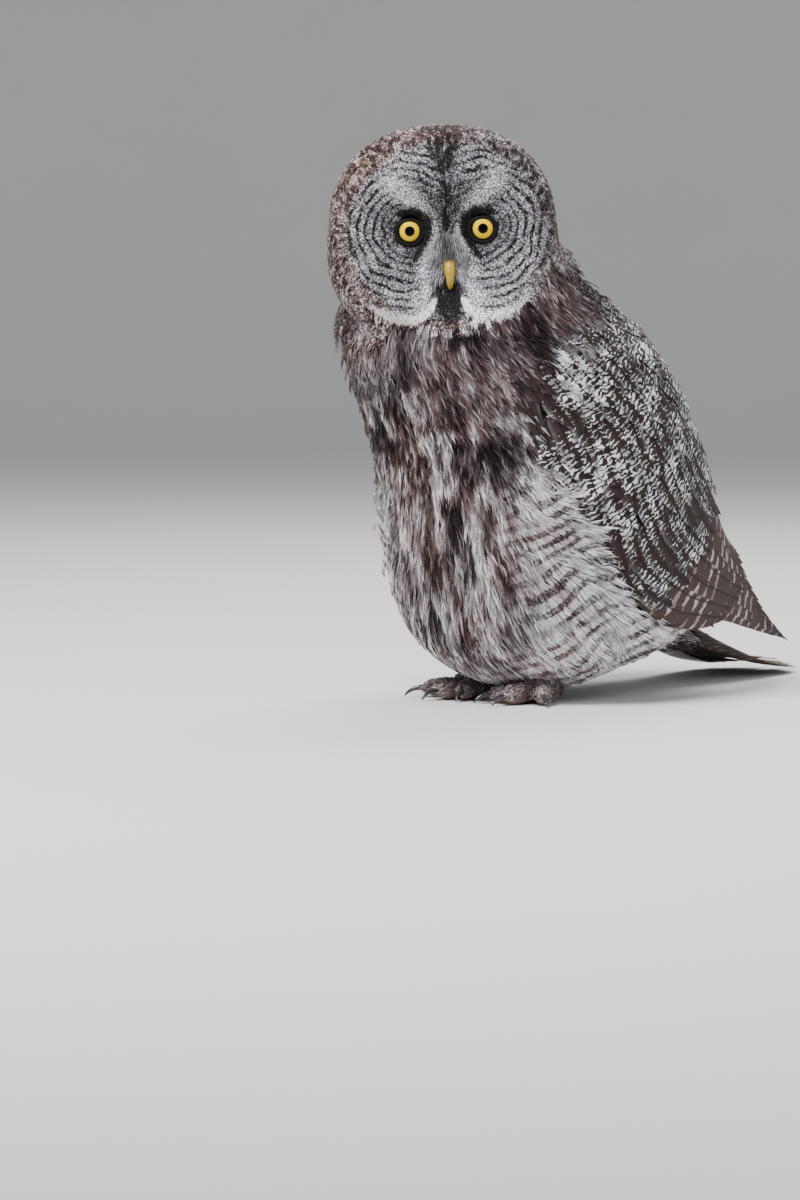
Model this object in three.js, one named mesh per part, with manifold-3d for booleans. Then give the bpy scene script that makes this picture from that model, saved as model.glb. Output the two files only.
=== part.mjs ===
// A great grey owl at life size, standing on a floor with its tail laid along it.
// Millimetres, +Z up. The body faces -Y, its left wing is on +X, and the head is turned to its left.
// The origin is the middle of the owl's bounding box, at floor level.
import * as THREE from "three";
import { mergeVertices } from "three/addons/utils/BufferGeometryUtils.js";
import Module from "manifold-3d";

const wasm = await Module();
wasm.setup();

// Driving dimensions
const GAP = 0.3; // clearance between neighbouring pieces
const HEAD_CENTRE = new THREE.Vector3(3, -82, 387);
const HEAD_TURN = 45; // degrees to the owl's left
const HEAD_ROLL = 2.2; // degrees, crown towards its right
const HEAD_HALF = { side: 91, up: 86, front: 58, back: 83 };
const HEAD_SQUARE = 2.35; // how square the head is, seen from in front: 2 would be an ellipse
const DISC_HALF = { side: 79, up: 72 }; // the facial disc's outline
const EYE_SIDE = 29.5; // from the middle of the face to each eye
const EYE_UP = 2;
const EYE_RADIUS = 13;
const EYE_DEPTH = 41; // the eyeball's middle, forward of the head's
const WING_DEPTH = 13; // how far the wing is let into the body's side
const FEET_APART = 68;
const FOOT_FORWARD = 4; // the ankle's Y
const TAIL_FEATHERS = 12;
const FEATHER_THICK = 0.8;

// The body's profile from nape to tail tip. Each section runs from a point on the back's line to
// one on the front's, both as Y and Z, and has a half width.
const STATIONS = [
  { name: "nape", back: [12, 389], front: [-127, 342], wide: 88 },
  { name: "neck", back: [28, 367], front: [-144, 288], wide: 101 },
  { name: "collar", back: [60, 345], front: [-126, 250], wide: 112 },
  { name: "shoulder", back: [98, 325], front: [-105, 211], wide: 120 },
  { name: "breast", back: [132, 297], front: [-90, 169], wide: 126 },
  { name: "middle", back: [162, 265], front: [-80, 112], wide: 129 },
  { name: "belly", back: [186, 230], front: [-60, 44], wide: 128 },
  { name: "loin", back: [204, 193], front: [8, 10], wide: 119 },
  { name: "vent", back: [222, 153], front: [98, 12], wide: 104 },
  { name: "tail_root", back: [252, 125], front: [166, 16], wide: 89 },
  { name: "rump_end", back: [283, 97], front: [226, 14], wide: 74 },
  { name: "tail_middle", back: [318, 69], front: [284, 13], wide: 61 },
  { name: "wing_tip", back: [353, 45], front: [337, 13], wide: 48 },
  { name: "tail_tip", back: [396, 28], front: [390, 11], wide: 38 },
];
const SECTION_MIDDLE = 0.48; // where along a section, from its front, it is widest

const COLOURS = {
  face: "#8d8a8b",
  plumage: "#7f7574",
  breast: "#9b9290",
  wing: "#5c4a45",
  flight: "#4a3a36",
  tail: "#6b5d57",
  foot: "#8d8379",
  claw: "#1c1a1b",
  bill: "#c6a338",
  eye: "#f2c71e",
};

const radians = THREE.MathUtils.degToRad;
const mix = THREE.MathUtils.lerp;
const ramp = THREE.MathUtils.smoothstep;
const vector = (x, y, z) => new THREE.Vector3(x, y, z);

/** Numbers from 0 to 1 that are the same each run. */
function seeded(seed) {
  let state = seed;
  return () => {
    state = (state * 1664525 + 1013904223) % 4294967296;
    return state / 4294967296;
  };
}

// Solids

/** A closed solid from points and the corners of its triangles. */
function solidOf(points, corners) {
  const make = (faces) =>
    new wasm.Manifold(
      new wasm.Mesh({
        numProp: 3,
        vertProperties: new Float32Array(points.flatMap((p) => [p.x, p.y, p.z])),
        triVerts: new Uint32Array(faces),
      }),
    );
  const made = make(corners);
  return made.volume() < 0 ? make([...corners].reverse()) : made;
}

/** A closed solid from a three.js geometry. */
function solidFrom(geometry) {
  const bare = new THREE.BufferGeometry();
  bare.setAttribute("position", geometry.getAttribute("position"));
  bare.setIndex(geometry.index);
  const merged = mergeVertices(bare, 1e-3);
  const place = merged.getAttribute("position");
  const points = Array.from({ length: place.count }, (_, i) =>
    new THREE.Vector3().fromBufferAttribute(place, i),
  );
  return solidOf(points, Array.from(merged.index.array));
}

/** Joins rings of points into one closed skin, with a fan across each end. */
function loft(rings) {
  const sides = rings[0].length;
  const points = rings.flat();
  const corners = [];
  for (let i = 0; i + 1 < rings.length; i++)
    for (let j = 0; j < sides; j++) {
      const k = (j + 1) % sides;
      const [a, b] = [i * sides + j, i * sides + k];
      corners.push(a, b, b + sides, a, b + sides, a + sides);
    }
  for (const [ring, first] of [
    [rings[0], 0],
    [rings.at(-1), points.length - sides],
  ]) {
    const middle = ring.reduce((sum, p) => sum.add(p), vector(0, 0, 0));
    points.push(middle.divideScalar(sides));
    for (let j = 0; j < sides; j++) {
      const [a, b] = [first + j, first + ((j + 1) % sides)];
      const end = points.length - 1;
      corners.push(...(first === 0 ? [b, a, end] : [a, b, end]));
    }
  }
  return solidOf(points, corners);
}

/** A thin plate between two grids of points, split into triangles alike on both faces. */
function plate(upper, lower) {
  const [rows, columns] = [upper.length, upper[0].length];
  const points = [...upper.flat(), ...lower.flat()];
  const top = (i, j) => i * columns + j;
  const under = (i, j) => rows * columns + i * columns + j;
  const corners = [];
  const quad = (a, b, c, d) => corners.push(a, b, c, a, c, d);
  for (let i = 0; i + 1 < rows; i++) {
    for (let j = 0; j + 1 < columns; j++) {
      quad(top(i, j), top(i + 1, j), top(i + 1, j + 1), top(i, j + 1));
      const [a, b, c, d] = [under(i, j), under(i + 1, j), under(i + 1, j + 1), under(i, j + 1)];
      corners.push(a, c, b, a, d, c);
    }
    quad(top(i, 0), under(i, 0), under(i + 1, 0), top(i + 1, 0));
    const last = columns - 1;
    quad(top(i + 1, last), under(i + 1, last), under(i, last), top(i, last));
  }
  for (let j = 0; j + 1 < columns; j++) {
    quad(top(0, j), top(0, j + 1), under(0, j + 1), under(0, j));
    const end = rows - 1;
    quad(top(end, j + 1), top(end, j), under(end, j), under(end, j + 1));
  }
  return solidOf(points, corners);
}

/** A round limb along a path of points, with a radius at each. */
function limb(path, radii, sides, grow = 0) {
  const ahead = (i) => {
    const [from, to] = [path[Math.max(i - 1, 0)], path[Math.min(i + 1, path.length - 1)]];
    return to.clone().sub(from).normalize();
  };
  const across = new THREE.Vector3().crossVectors(ahead(0), vector(0.12, 0.31, 0.94)).normalize();
  const rings = path.map((point, i) => {
    const way = ahead(i);
    const side = across.clone().addScaledVector(way, -across.dot(way)).normalize();
    const lift = new THREE.Vector3().crossVectors(way, side);
    const end = i === 0 ? -grow : i === path.length - 1 ? grow : 0;
    return Array.from({ length: sides }, (_, j) => {
      const turn = (2 * Math.PI * (j + 0.5)) / sides;
      const r = radii[i] + grow;
      return point
        .clone()
        .addScaledVector(way, end)
        .addScaledVector(side, r * Math.cos(turn))
        .addScaledVector(lift, r * Math.sin(turn));
    });
  });
  return loft(rings);
}

/** Joins solids, and keeps the largest closed surface. */
function join(solids) {
  const parts = wasm.Manifold.union(solids).decompose();
  return parts.sort((a, b) => b.volume() - a.volume())[0];
}

// The body's surface

const through = (points) => new THREE.CatmullRomCurve3(points.map(([y, z]) => vector(0, y, z)));
const backLine = through(STATIONS.map((s) => s.back));
const frontLine = through(STATIONS.map((s) => s.front));
const spine = new THREE.CatmullRomCurve3(
  STATIONS.map((s) => vector(0, ...s.front).lerp(vector(0, ...s.back), SECTION_MIDDLE)),
);
const widths = new THREE.CatmullRomCurve3(STATIONS.map((s) => vector(s.wide, 0, 0)));
const at = (name) => STATIONS.findIndex((s) => s.name === name) / (STATIONS.length - 1);
const distances = spine.getLengths(400);
/** How far a share of the spine's stations is along it, in millimetres. */
const lengthTo = (share) => distances[Math.round(share * 400)];
/** The share of the spine's stations that lies a distance along it. */
const shareAt = (distance) => spine.getUtoTmapping(0, distance);

/** The point on the body's outer surface at a share of the spine and an angle round it: 0 is the
    owl's left side, 90 its back and -90 its belly. It is lifted off the surface by a distance. */
function hull(share, degrees, lift = 0) {
  const middle = spine.getPoint(share);
  const [c, s] = [Math.cos(radians(degrees)), Math.sin(radians(degrees))];
  const radius = (s > 0 ? backLine : frontLine).getPoint(share).sub(middle);
  const deep = radius.length();
  const outward = radius.normalize();
  const wide = widths.getPoint(share).x;
  const normal = new THREE.Vector2(c / wide, Math.abs(s) / deep).normalize();
  return middle
    .add(vector(wide * c + normal.x * lift, 0, 0))
    .addScaledVector(outward, deep * Math.abs(s) + normal.y * lift);
}

/** How far the body is let in under the wings. */
function recess(share, degrees) {
  const turn = Math.abs(degrees) > 90 ? Math.sign(degrees) * 180 - degrees : degrees;
  const front = mix(-66, -34, ramp(share, at("shoulder"), at("loin")));
  const round = ramp(turn, front, front + 22) * (1 - ramp(turn, 64, 84));
  return WING_DEPTH * round * ramp(share, at("collar"), at("breast"));
}

/** The neck and torso as one solid, closed in front of the tail. */
function bodyForm(grow) {
  const sides = 36;
  const shares = [0, 0.35, 1, 1.7, 2.4, 3.1, 3.8, 4.5, 5.2, 5.9, 6.6, 7.3, 8, 8.5, 8.9];
  const close = [0.97, 1, 1, 1, 1, 1, 1, 1, 1, 1, 1, 0.97, 0.82, 0.62, 0.34];
  const rings = shares.map((station, i) => {
    const share = station / (STATIONS.length - 1);
    const middle = spine.getPoint(share);
    return Array.from({ length: sides }, (_, j) => {
      const degrees = (360 * j) / sides - 180;
      const point = hull(share, degrees, grow - recess(share, degrees));
      return middle.clone().lerp(point, close[i]);
    });
  });
  return loft(rings);
}

// The head, in its own axes: side is the owl's left, up, and front is where it faces

const headAxes = new THREE.Matrix4()
  .makeTranslation(HEAD_CENTRE)
  .multiply(new THREE.Matrix4().makeRotationZ(radians(HEAD_TURN)))
  .multiply(new THREE.Matrix4().makeRotationY(radians(-HEAD_ROLL)));
/** A point of the head from its side, up and front distances. */
const inHead = (side, up, front) => vector(side, -front, up).applyMatrix4(headAxes);

/** The face's hollow round each eye, and the ridge between, as a depth in millimetres. */
function faceHollow(side, up) {
  const bowl = (eye) => Math.exp(-(((side - eye) / 26) ** 2) - ((up - EYE_UP) / 34) ** 2);
  return 11 * (bowl(EYE_SIDE) + bowl(-EYE_SIDE));
}

/** The raised edge of the facial disc, as a height in millimetres. */
function discRim(side, up) {
  const out = Math.hypot(side / DISC_HALF.side, up / DISC_HALF.up);
  return 4.5 * Math.exp(-(((out - 1) / 0.08) ** 2));
}

function headForm() {
  const geometry = new THREE.SphereGeometry(1, 34, 20);
  const place = geometry.getAttribute("position");
  for (let i = 0; i < place.count; i++) {
    const way = new THREE.Vector3().fromBufferAttribute(place, i);
    // The sphere's poles are turned to face front and back, so that its rings follow the disc
    const [side, up, front] = [way.x, way.z, way.y];
    const turn = Math.atan2(up, side);
    const [across, along] = [Math.abs(Math.cos(turn)), Math.abs(Math.sin(turn))];
    const square = (across ** HEAD_SQUARE + along ** HEAD_SQUARE) ** (-1 / HEAD_SQUARE);
    const swell = 1 + 0.14 * Math.max(0, -up) * Math.abs(side);
    let s = HEAD_HALF.side * side * swell * square;
    let u = HEAD_HALF.up * up * square;
    let f = front < 0 ? HEAD_HALF.back * front : HEAD_HALF.front * (1 - (1 - front) ** 2);
    if (front > 0) {
      f -= faceHollow(s, u) * Math.min(1, front * 3);
      const rim = discRim(s, u);
      f += rim * front;
      s += rim * side;
      u += rim * up;
    }
    place.setXYZ(i, ...inHead(s, u, f).toArray());
  }
  return solidFrom(geometry);
}

/** A ball that fills an eye socket. */
function eyeball(side, grow = 0) {
  const geometry = new THREE.IcosahedronGeometry(EYE_RADIUS + grow, 2);
  geometry.translate(...inHead(side * EYE_SIDE, EYE_UP, EYE_DEPTH).toArray());
  return solidFrom(geometry);
}

/** The lids: a soft ring round each eye, a little flattened above. */
function lids(side) {
  const geometry = new THREE.TorusGeometry(10.7, 2.3, 5, 16);
  const place = geometry.getAttribute("position");
  for (let i = 0; i < place.count; i++) {
    const across = place.getX(i);
    const up = place.getY(i) * (place.getY(i) > 0 ? 0.9 : 0.98);
    const front = EYE_DEPTH + 7.4 + place.getZ(i) + 0.06 * up;
    place.setXYZ(i, ...inHead(side * EYE_SIDE + across, EYE_UP + up, front).toArray());
  }
  return solidFrom(geometry);
}

function billUpper(grow = 0) {
  const path = [
    [-20, 47],
    [-25, 57],
    [-31, 61.5],
    [-37.5, 62],
    [-43, 59.5],
    [-46.5, 55],
  ].map(([up, front]) => inHead(1, up, front));
  return limb(path, [5.6, 5.2, 4.7, 3.8, 2.6, 0.7], 8, grow);
}

function billLower(grow = 0) {
  const path = [
    [-33, 46],
    [-38, 51.5],
    [-41.5, 54],
    [-44, 54.5],
  ].map(([up, front]) => inHead(1, up, front));
  return limb(path, [3.9, 3.6, 2.8, 1.2], 8, grow);
}

/** The slits of the nostrils, one each side of the bill. */
function nostrils() {
  return [-1, 1].map((side) => {
    const geometry = new THREE.IcosahedronGeometry(1.5, 1);
    geometry.translate(...inHead(1 + side * 4.6, -27, 58.5).toArray());
    return solidFrom(geometry);
  });
}

// Feathers

const OUTLINE = [
  [0, 0.5],
  [0.45, 1],
  [0.84, 0.88],
  [1, 0.34],
]; // share of a feather's length, and of its width there

/** One vane laid on the body's surface, from its root to its tip. Distances run down the spine,
    turns go round it, and lifts are off the surface. Tilt raises its lower edge. */
function bodyVane({ from, to, turn, endTurn, width, rootLift, tipLift, tilt, outline = OUTLINE }) {
  const grids = [FEATHER_THICK / 2, -FEATHER_THICK / 2].map((half) =>
    outline.map(([share, wide]) => {
      const s = shareAt(mix(from, to, share));
      const angle = mix(turn, endTurn, share);
      const reach = hull(s, angle + 1).distanceTo(hull(s, angle));
      const spread = (width * wide) / 2 / reach;
      const lift = mix(rootLift, tipLift, share);
      return [-1, 1].map((edge) =>
        hull(s, angle + edge * spread, lift + half - (edge * tilt * width * wide) / 2),
      );
    }),
  );
  return plate(...grids);
}

/** A row of overlapping vanes round the wing's surface. */
function row({ count, from, length, turns, width, rise, root, draw, spread = 0, tilt = 0.075 }) {
  return Array.from({ length: count }, (_, i) => {
    const share = count === 1 ? 0.5 : i / (count - 1);
    const turn = mix(...turns, share);
    const long = mix(...length, share) * (0.96 + 0.08 * draw());
    const start = mix(...from, share);
    return bodyVane({
      from: start,
      to: start + long,
      turn,
      endTurn: turn + spread * (share - 0.5) + 2 * (draw() - 0.5),
      width: mix(...width, share) * (0.96 + 0.08 * draw()),
      rootLift: root,
      tipLift: root + rise * long,
      tilt,
    });
  });
}

const WRIST = 100; // how far down the spine the wing's front end is
const ARM_END = 318;

/** The arm and hand that the wing's feathers grow from: a pillow let into the body's side. */
function arm() {
  const [rows, columns] = [9, 6];
  const grids = [0, -WING_DEPTH - 4].map((deep, face) =>
    Array.from({ length: rows }, (_, i) => {
      const down = i / (rows - 1);
      const share = shareAt(mix(WRIST - 16, ARM_END, down));
      const lower = mix(-46, -20, down);
      return Array.from({ length: columns }, (_, j) => {
        const round = j / (columns - 1);
        const edge = Math.min(1, 3.2 * Math.min(round, 1 - round) + 0.12);
        const end = Math.min(1, 4 * down + 0.15, 3 * (1 - down) + 0.12);
        const drop = face === 0 ? (1 - edge * end) * (WING_DEPTH - 2) : 0;
        return hull(share, mix(lower, 74, round), deep - drop);
      });
    }),
  );
  return plate(...grids);
}

/** The primaries' tips: a stack that narrows to the wing's point, the outermost nearest the tail. */
function primaries(draw) {
  const count = 6;
  return Array.from({ length: count }, (_, i) => {
    const share = i / (count - 1);
    const lift = mix(-10.6, -5.2, share);
    return bodyVane({
      from: 205,
      to: mix(560, 468, share) + 3 * draw(),
      turn: mix(-22, 6, share),
      endTurn: mix(8, 38, share),
      width: mix(27, 31, share),
      rootLift: lift,
      tipLift: lift,
      tilt: 0,
      outline: [
        [0, 0.5],
        [0.4, 0.9],
        [0.62, 1],
        [0.8, 0.95],
        [0.94, 0.7],
        [1, 0.3],
      ],
    });
  });
}

/** The left wing, or the right one by its mirror, as one solid. */
function wing(side, bodyGrown) {
  const draw = seeded(side > 0 ? 11 : 29);
  const rows = [
    // Secondaries, then the coverts from the lowest row up, then the scapulars the same way
    { count: 7, from: [236, 224], length: [180, 212], turns: [-16, 62], width: [38, 42], rise: 0.022, spread: -14 },
    { count: 6, from: [192, 200], length: [112, 96], turns: [-24, 20], width: [28, 31], rise: 0.07 },
    { count: 6, from: [146, 156], length: [96, 84], turns: [-34, 16], width: [30, 31], rise: 0.08 },
    { count: 5, from: [102, 110], length: [84, 78], turns: [-38, 14], width: [33, 34], rise: 0.085 },
    { count: 4, from: [250, 244], length: [116, 130], turns: [26, 64], width: [34, 37], rise: 0.08 },
    { count: 4, from: [196, 192], length: [112, 116], turns: [26, 67], width: [35, 38], rise: 0.08 },
    { count: 4, from: [142, 138], length: [104, 108], turns: [26, 66], width: [34, 37], rise: 0.08 },
  ];
  const vanes = [...primaries(draw), ...rows.flatMap((one) => row({ root: -4, draw, ...one }))];
  const whole = join([arm(), ...vanes]);
  const placed = side > 0 ? whole : whole.mirror([1, 0, 0]);
  return join([placed.subtract(bodyGrown)]);
}

// The tail: its middle line runs back and down until it lies along the floor

const tailLine = new THREE.CatmullRomCurve3(
  [
    [142, 82],
    [190, 58],
    [250, 33],
    [310, 14],
    [360, 5.4],
    [402, 1.2],
  ].map(([y, z]) => vector(0, y, z)),
);
const TAIL_SWING = 7; // degrees towards the owl's right

/** A vane of the tail. Places run across it and along its middle line, as shares. */
function tailVane({ from, to, root, tip, width, rootLift, tipLift, outline }) {
  const grids = [FEATHER_THICK / 2, -FEATHER_THICK / 2].map((half) =>
    outline.map(([share, wide]) => {
      const middle = tailLine.getPointAt(mix(from, to, share));
      const way = tailLine.getTangentAt(mix(from, to, share));
      const above = vector(0, -way.z, way.y);
      return [-1, 1].map((edge) =>
        middle
          .clone()
          .add(vector(mix(root, tip, share) + (edge * width * wide) / 2, 0, 0))
          .addScaledVector(above, mix(rootLift, tipLift, Math.min(1, 1.6 * share)) + half),
      );
    }),
  );
  return plate(...grids);
}

const LONG_OUTLINE = [
  [0, 0.4],
  [0.3, 0.85],
  [0.6, 1],
  [0.8, 1],
  [0.94, 0.8],
  [1, 0.36],
];

function tail(bodyGrown) {
  const draw = seeded(47);
  const pairs = TAIL_FEATHERS / 2;
  const step = FEATHER_THICK + GAP;
  const vanes = [];
  for (const side of [-1, 1])
    for (let pair = 0; pair < pairs; pair++) {
      const out = pair / (pairs - 1);
      // The middle feathers lie on top, and cross those of the other side, so each has a level
      const level = pair > 1 ? pairs - 1 - pair : 3 + 2 * (1 - pair) + (side > 0 ? 1 : 2);
      vanes.push(
        tailVane({
          from: 0.03,
          to: 1 - 0.085 * out ** 1.6 - 0.008 * draw(),
          root: side * mix(3, 24, out),
          tip: side * mix(7, 41, out),
          width: mix(30, 25, out),
          rootLift: 0.4 + 0.55 * level,
          tipLift: 0.45 + step * level,
          outline: LONG_OUTLINE,
        }),
      );
    }
  // Coverts over and under the tail's root
  for (const [count, wide, rootLift, tipLift, reach] of [
    [5, 58, 6, 13.5, 0.5],
    [5, 66, -7, -8, 0.52],
    [4, 46, -12, -17, 0.36],
  ])
    for (let i = 0; i < count; i++) {
      const across = i / (count - 1) - 0.5;
      vanes.push(
        tailVane({
          from: 0.06,
          to: reach - 0.1 * Math.abs(across) + 0.02 * draw(),
          root: wide * across * 0.8,
          tip: wide * across,
          width: 25,
          rootLift,
          tipLift: tipLift + (i % 2 ? 0 : Math.sign(tipLift) * (step + 0.2)),
          outline: OUTLINE,
        }),
      );
    }
  const base = limb(
    [vector(0, 128, 84), vector(0, 150, 75), vector(0, 176, 64), vector(0, 205, 51), vector(0, 226, 42)],
    [14, 17, 17, 12, 6],
    10,
  );
  const wide = base.scale([2.1, 1, 1]);
  const whole = join([wide, ...vanes]);
  const root = tailLine.getPointAt(0);
  const swung = whole
    .translate([-root.x, -root.y, -root.z])
    .rotate([0, 0, TAIL_SWING])
    .translate([root.x, root.y, root.z]);
  return join([swung.subtract(bodyGrown)]);
}

// Legs and feet

/** The toes of a left foot: the way each points, its reach from the ankle, and its thickness. */
const TOES = [
  { name: "hind", degrees: 198, reach: 30, thick: 7.2 },
  { name: "inner", degrees: -24, reach: 41, thick: 7.6 },
  { name: "middle", degrees: 4, reach: 46, thick: 8 },
  { name: "outer", degrees: 46, reach: 42, thick: 7.6 },
];

const ankle = (side) => vector((side * FEET_APART) / 2, FOOT_FORWARD, 0);
/** The way a toe points, from straight ahead and out to the owl's side. */
function toeWay(side, toe) {
  const turn = radians(toe.degrees);
  return vector(side * Math.sin(turn), -Math.cos(turn), 0);
}

function foot(side, grow = 0) {
  const heel = ankle(side);
  const toes = TOES.map((toe) => {
    const way = toeWay(side, toe);
    const path = [0, 0.45, 0.8, 1].map((share) =>
      heel.clone().addScaledVector(way, toe.reach * share).setZ(mix(8.6, 7.4, share)),
    );
    return limb(path, [toe.thick * 1.15, toe.thick, toe.thick * 1.05, toe.thick * 0.62], 8, grow);
  });
  const pad = new THREE.SphereGeometry(1, 10, 7);
  pad.scale(17 + grow, 18 + grow, 14 + grow);
  pad.translate(heel.x, heel.y, 11);
  const whole = join([solidFrom(pad), ...toes]);
  return grow ? whole : whole.trimByPlane([0, 0, 1], 0);
}

function claw(side, toe, grow = 0) {
  const way = toeWay(side, toe);
  const base = ankle(side).addScaledVector(way, toe.reach + GAP).setZ(7.4);
  const path = [
    [0, 0],
    [6, 1],
    [12, -0.6],
    [16.5, -3.6],
    [18.5, -6.3],
  ].map(([out, up]) => base.clone().addScaledVector(way, out).add(vector(0, 0, up)));
  return limb(path, [3, 2.6, 2, 1.3, 0.5], 6, grow);
}

function leg(side, grow = 0) {
  const heel = ankle(side);
  const path = [
    [0, 0, 14],
    [0, 2, 30],
    [0, 7, 46],
    [0, 12, 60],
    [0, 14, 68],
  ].map(([x, y, z]) => heel.clone().add(vector(x, y, z)));
  return limb(path, [15, 17.5, 20, 19, 11], 12, grow);
}

// Assembly

const bodyGrown = bodyForm(GAP);
const sides = [
  { name: "left", side: 1 },
  { name: "right", side: -1 },
];

const skull = join([headForm(), lids(1), lids(-1)]);
const billTop = billUpper().subtract(wasm.Manifold.union(nostrils()));
const billUnder = join([billLower().subtract(billUpper(GAP))]);

let whole = join([skull, bodyForm(0)]);
for (const cut of [eyeball(1, GAP), eyeball(-1, GAP), billUpper(GAP), billLower(GAP)])
  whole = whole.subtract(cut);
for (const { side } of sides)
  for (const cut of [foot(side, GAP), leg(side, GAP), ...TOES.map((toe) => claw(side, toe, GAP))])
    whole = whole.subtract(cut);

/** Parts a solid at a sloping plane, and leaves a thin cut between the two. */
function part(solid, point, normal) {
  const n = normal.clone().normalize();
  const reach = point.dot(n);
  return [
    join([solid.trimByPlane(n.toArray(), reach + GAP / 2)]),
    join([solid.trimByPlane(n.clone().negate().toArray(), GAP / 2 - reach)]),
  ];
}

const [head, trunk] = part(whole, vector(0, -80, 322), vector(0, -0.26, 1));
const [neck, torso] = part(trunk, vector(0, -44, 290), vector(0, -0.42, 1));

const owl = new THREE.Group();
owl.name = "great_grey_owl";

/** Adds a solid to the owl as a named mesh. */
function add(name, solid, colour, roughness = 0.9) {
  const { vertProperties, triVerts } = solid.getMesh();
  const geometry = new THREE.BufferGeometry();
  geometry.setAttribute("position", new THREE.BufferAttribute(new Float32Array(vertProperties), 3));
  geometry.setIndex(new THREE.BufferAttribute(new Uint32Array(triVerts), 1));
  geometry.computeVertexNormals();
  const material = new THREE.MeshStandardMaterial({ color: colour, roughness, metalness: 0 });
  const mesh = new THREE.Mesh(geometry, material);
  mesh.name = name;
  owl.add(mesh);
}

add("head", head, COLOURS.face);
add("neck", neck, COLOURS.plumage);
add("torso", torso, COLOURS.breast);
add("bill_upper", billTop, COLOURS.bill, 0.45);
add("bill_lower", billUnder, COLOURS.bill, 0.45);
add("tail", tail(bodyGrown), COLOURS.tail);
for (const { name, side } of sides) {
  add(`eye_${name}`, eyeball(side), COLOURS.eye, 0.1);
  add(`wing_${name}`, wing(side, bodyGrown), COLOURS.wing);
  add(`leg_${name}`, join([leg(side).subtract(foot(side, GAP))]), COLOURS.foot);
  add(`foot_${name}`, foot(side), COLOURS.foot);
  for (const toe of TOES) {
    const horn = claw(side, toe).subtract(foot(side, GAP));
    add(`claw_${name}_${toe.name}`, join([horn]), COLOURS.claw, 0.3);
  }
}

const box = new THREE.Box3().setFromObject(owl);
const middle = box.getCenter(vector(0, 0, 0));
owl.position.set(-middle.x, -middle.y, -box.min.z);

export default owl;
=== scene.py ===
"""Dresses the great grey owl: one skin, a coat of small feathers, flight feathers, eyes, bill and claws.

Lengths inside this file are millimetres in the owl's own frame, and become metres when a mesh is made.
The owl faces -Y, its left wing is on +X, and its head is turned to its left.
"""

import math

import bmesh
import bpy
import numpy as np
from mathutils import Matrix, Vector
from mathutils.bvhtree import BVHTree


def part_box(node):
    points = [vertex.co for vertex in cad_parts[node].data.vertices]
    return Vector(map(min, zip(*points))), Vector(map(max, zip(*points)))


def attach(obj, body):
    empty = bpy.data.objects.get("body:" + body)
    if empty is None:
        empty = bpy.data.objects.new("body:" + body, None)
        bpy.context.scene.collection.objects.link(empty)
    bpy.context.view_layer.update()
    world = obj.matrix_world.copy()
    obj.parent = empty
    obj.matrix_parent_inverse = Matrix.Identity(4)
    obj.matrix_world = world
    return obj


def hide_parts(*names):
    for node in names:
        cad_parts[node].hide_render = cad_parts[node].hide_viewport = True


bl_info = {
    "name": "Great grey owl",
    "version": (1, 0, 0),
    "blender": (4, 5, 0),
    "location": "View3D > Sidebar > Owl",
    "description": "Dresses the solids of a great grey owl with skin, feathers, eyes, bill and claws",
    "category": "Object",
}

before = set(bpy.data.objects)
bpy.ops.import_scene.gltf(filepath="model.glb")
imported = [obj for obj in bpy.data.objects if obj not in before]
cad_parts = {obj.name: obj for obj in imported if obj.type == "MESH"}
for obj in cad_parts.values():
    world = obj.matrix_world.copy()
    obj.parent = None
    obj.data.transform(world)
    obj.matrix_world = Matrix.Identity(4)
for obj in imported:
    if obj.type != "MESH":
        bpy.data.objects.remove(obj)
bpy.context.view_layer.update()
MM = 0.001
SIDES = (("left", 1.0), ("right", -1.0))

# The head's axes, from the two eyes in the frame

EYE_RADIUS = 13.0
EYE_UP = 2.0
EYE_DEPTH = 41.0


def node_middle(node):
    low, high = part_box(node)
    return (np.array(low) + np.array(high)) / 2 / MM


LEFT_EYE = node_middle("eye_left")
RIGHT_EYE = node_middle("eye_right")
HEAD_SIDE = (LEFT_EYE - RIGHT_EYE) / np.linalg.norm(LEFT_EYE - RIGHT_EYE)
HEAD_UP = np.array([0.0, 0.0, 1.0]) - HEAD_SIDE[2] * HEAD_SIDE
HEAD_UP /= np.linalg.norm(HEAD_UP)
HEAD_FRONT = np.cross(HEAD_SIDE, HEAD_UP)
HEAD_MIDDLE = (LEFT_EYE + RIGHT_EYE) / 2 - EYE_UP * HEAD_UP - EYE_DEPTH * HEAD_FRONT
EYE_SIDE = np.linalg.norm(LEFT_EYE - RIGHT_EYE) / 2
HEAD_HALF = (91.0, 86.0, 58.0, 83.0)  # to the side, up, front and back
HEAD_SQUARE = 2.35
DISC_SIDE, DISC_UP = 79.0, 72.0

# The body's profile, which the solids share: back and front as Y and Z, and the half width

SHARES_COUNT = 1301
HEAD_Y = -82.0
BACK_LINE = [(12, 389), (28, 367), (60, 345), (98, 325), (132, 297), (162, 265), (186, 230),
             (204, 193), (222, 153), (252, 125), (283, 97), (318, 69), (353, 45), (396, 28)]
FRONT_LINE = [(-127, 342), (-144, 288), (-126, 250), (-105, 211), (-90, 169), (-80, 112), (-60, 44),
              (8, 10), (98, 12), (166, 16), (226, 14), (284, 13), (337, 13), (390, 11)]
WIDTHS = [88, 101, 112, 120, 126, 129, 128, 119, 104, 89, 74, 61, 48, 38]
SECTION_MIDDLE = 0.48
SHIFT_Y = HEAD_MIDDLE[1] - HEAD_Y
STATIONS = len(WIDTHS) - 1


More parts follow.
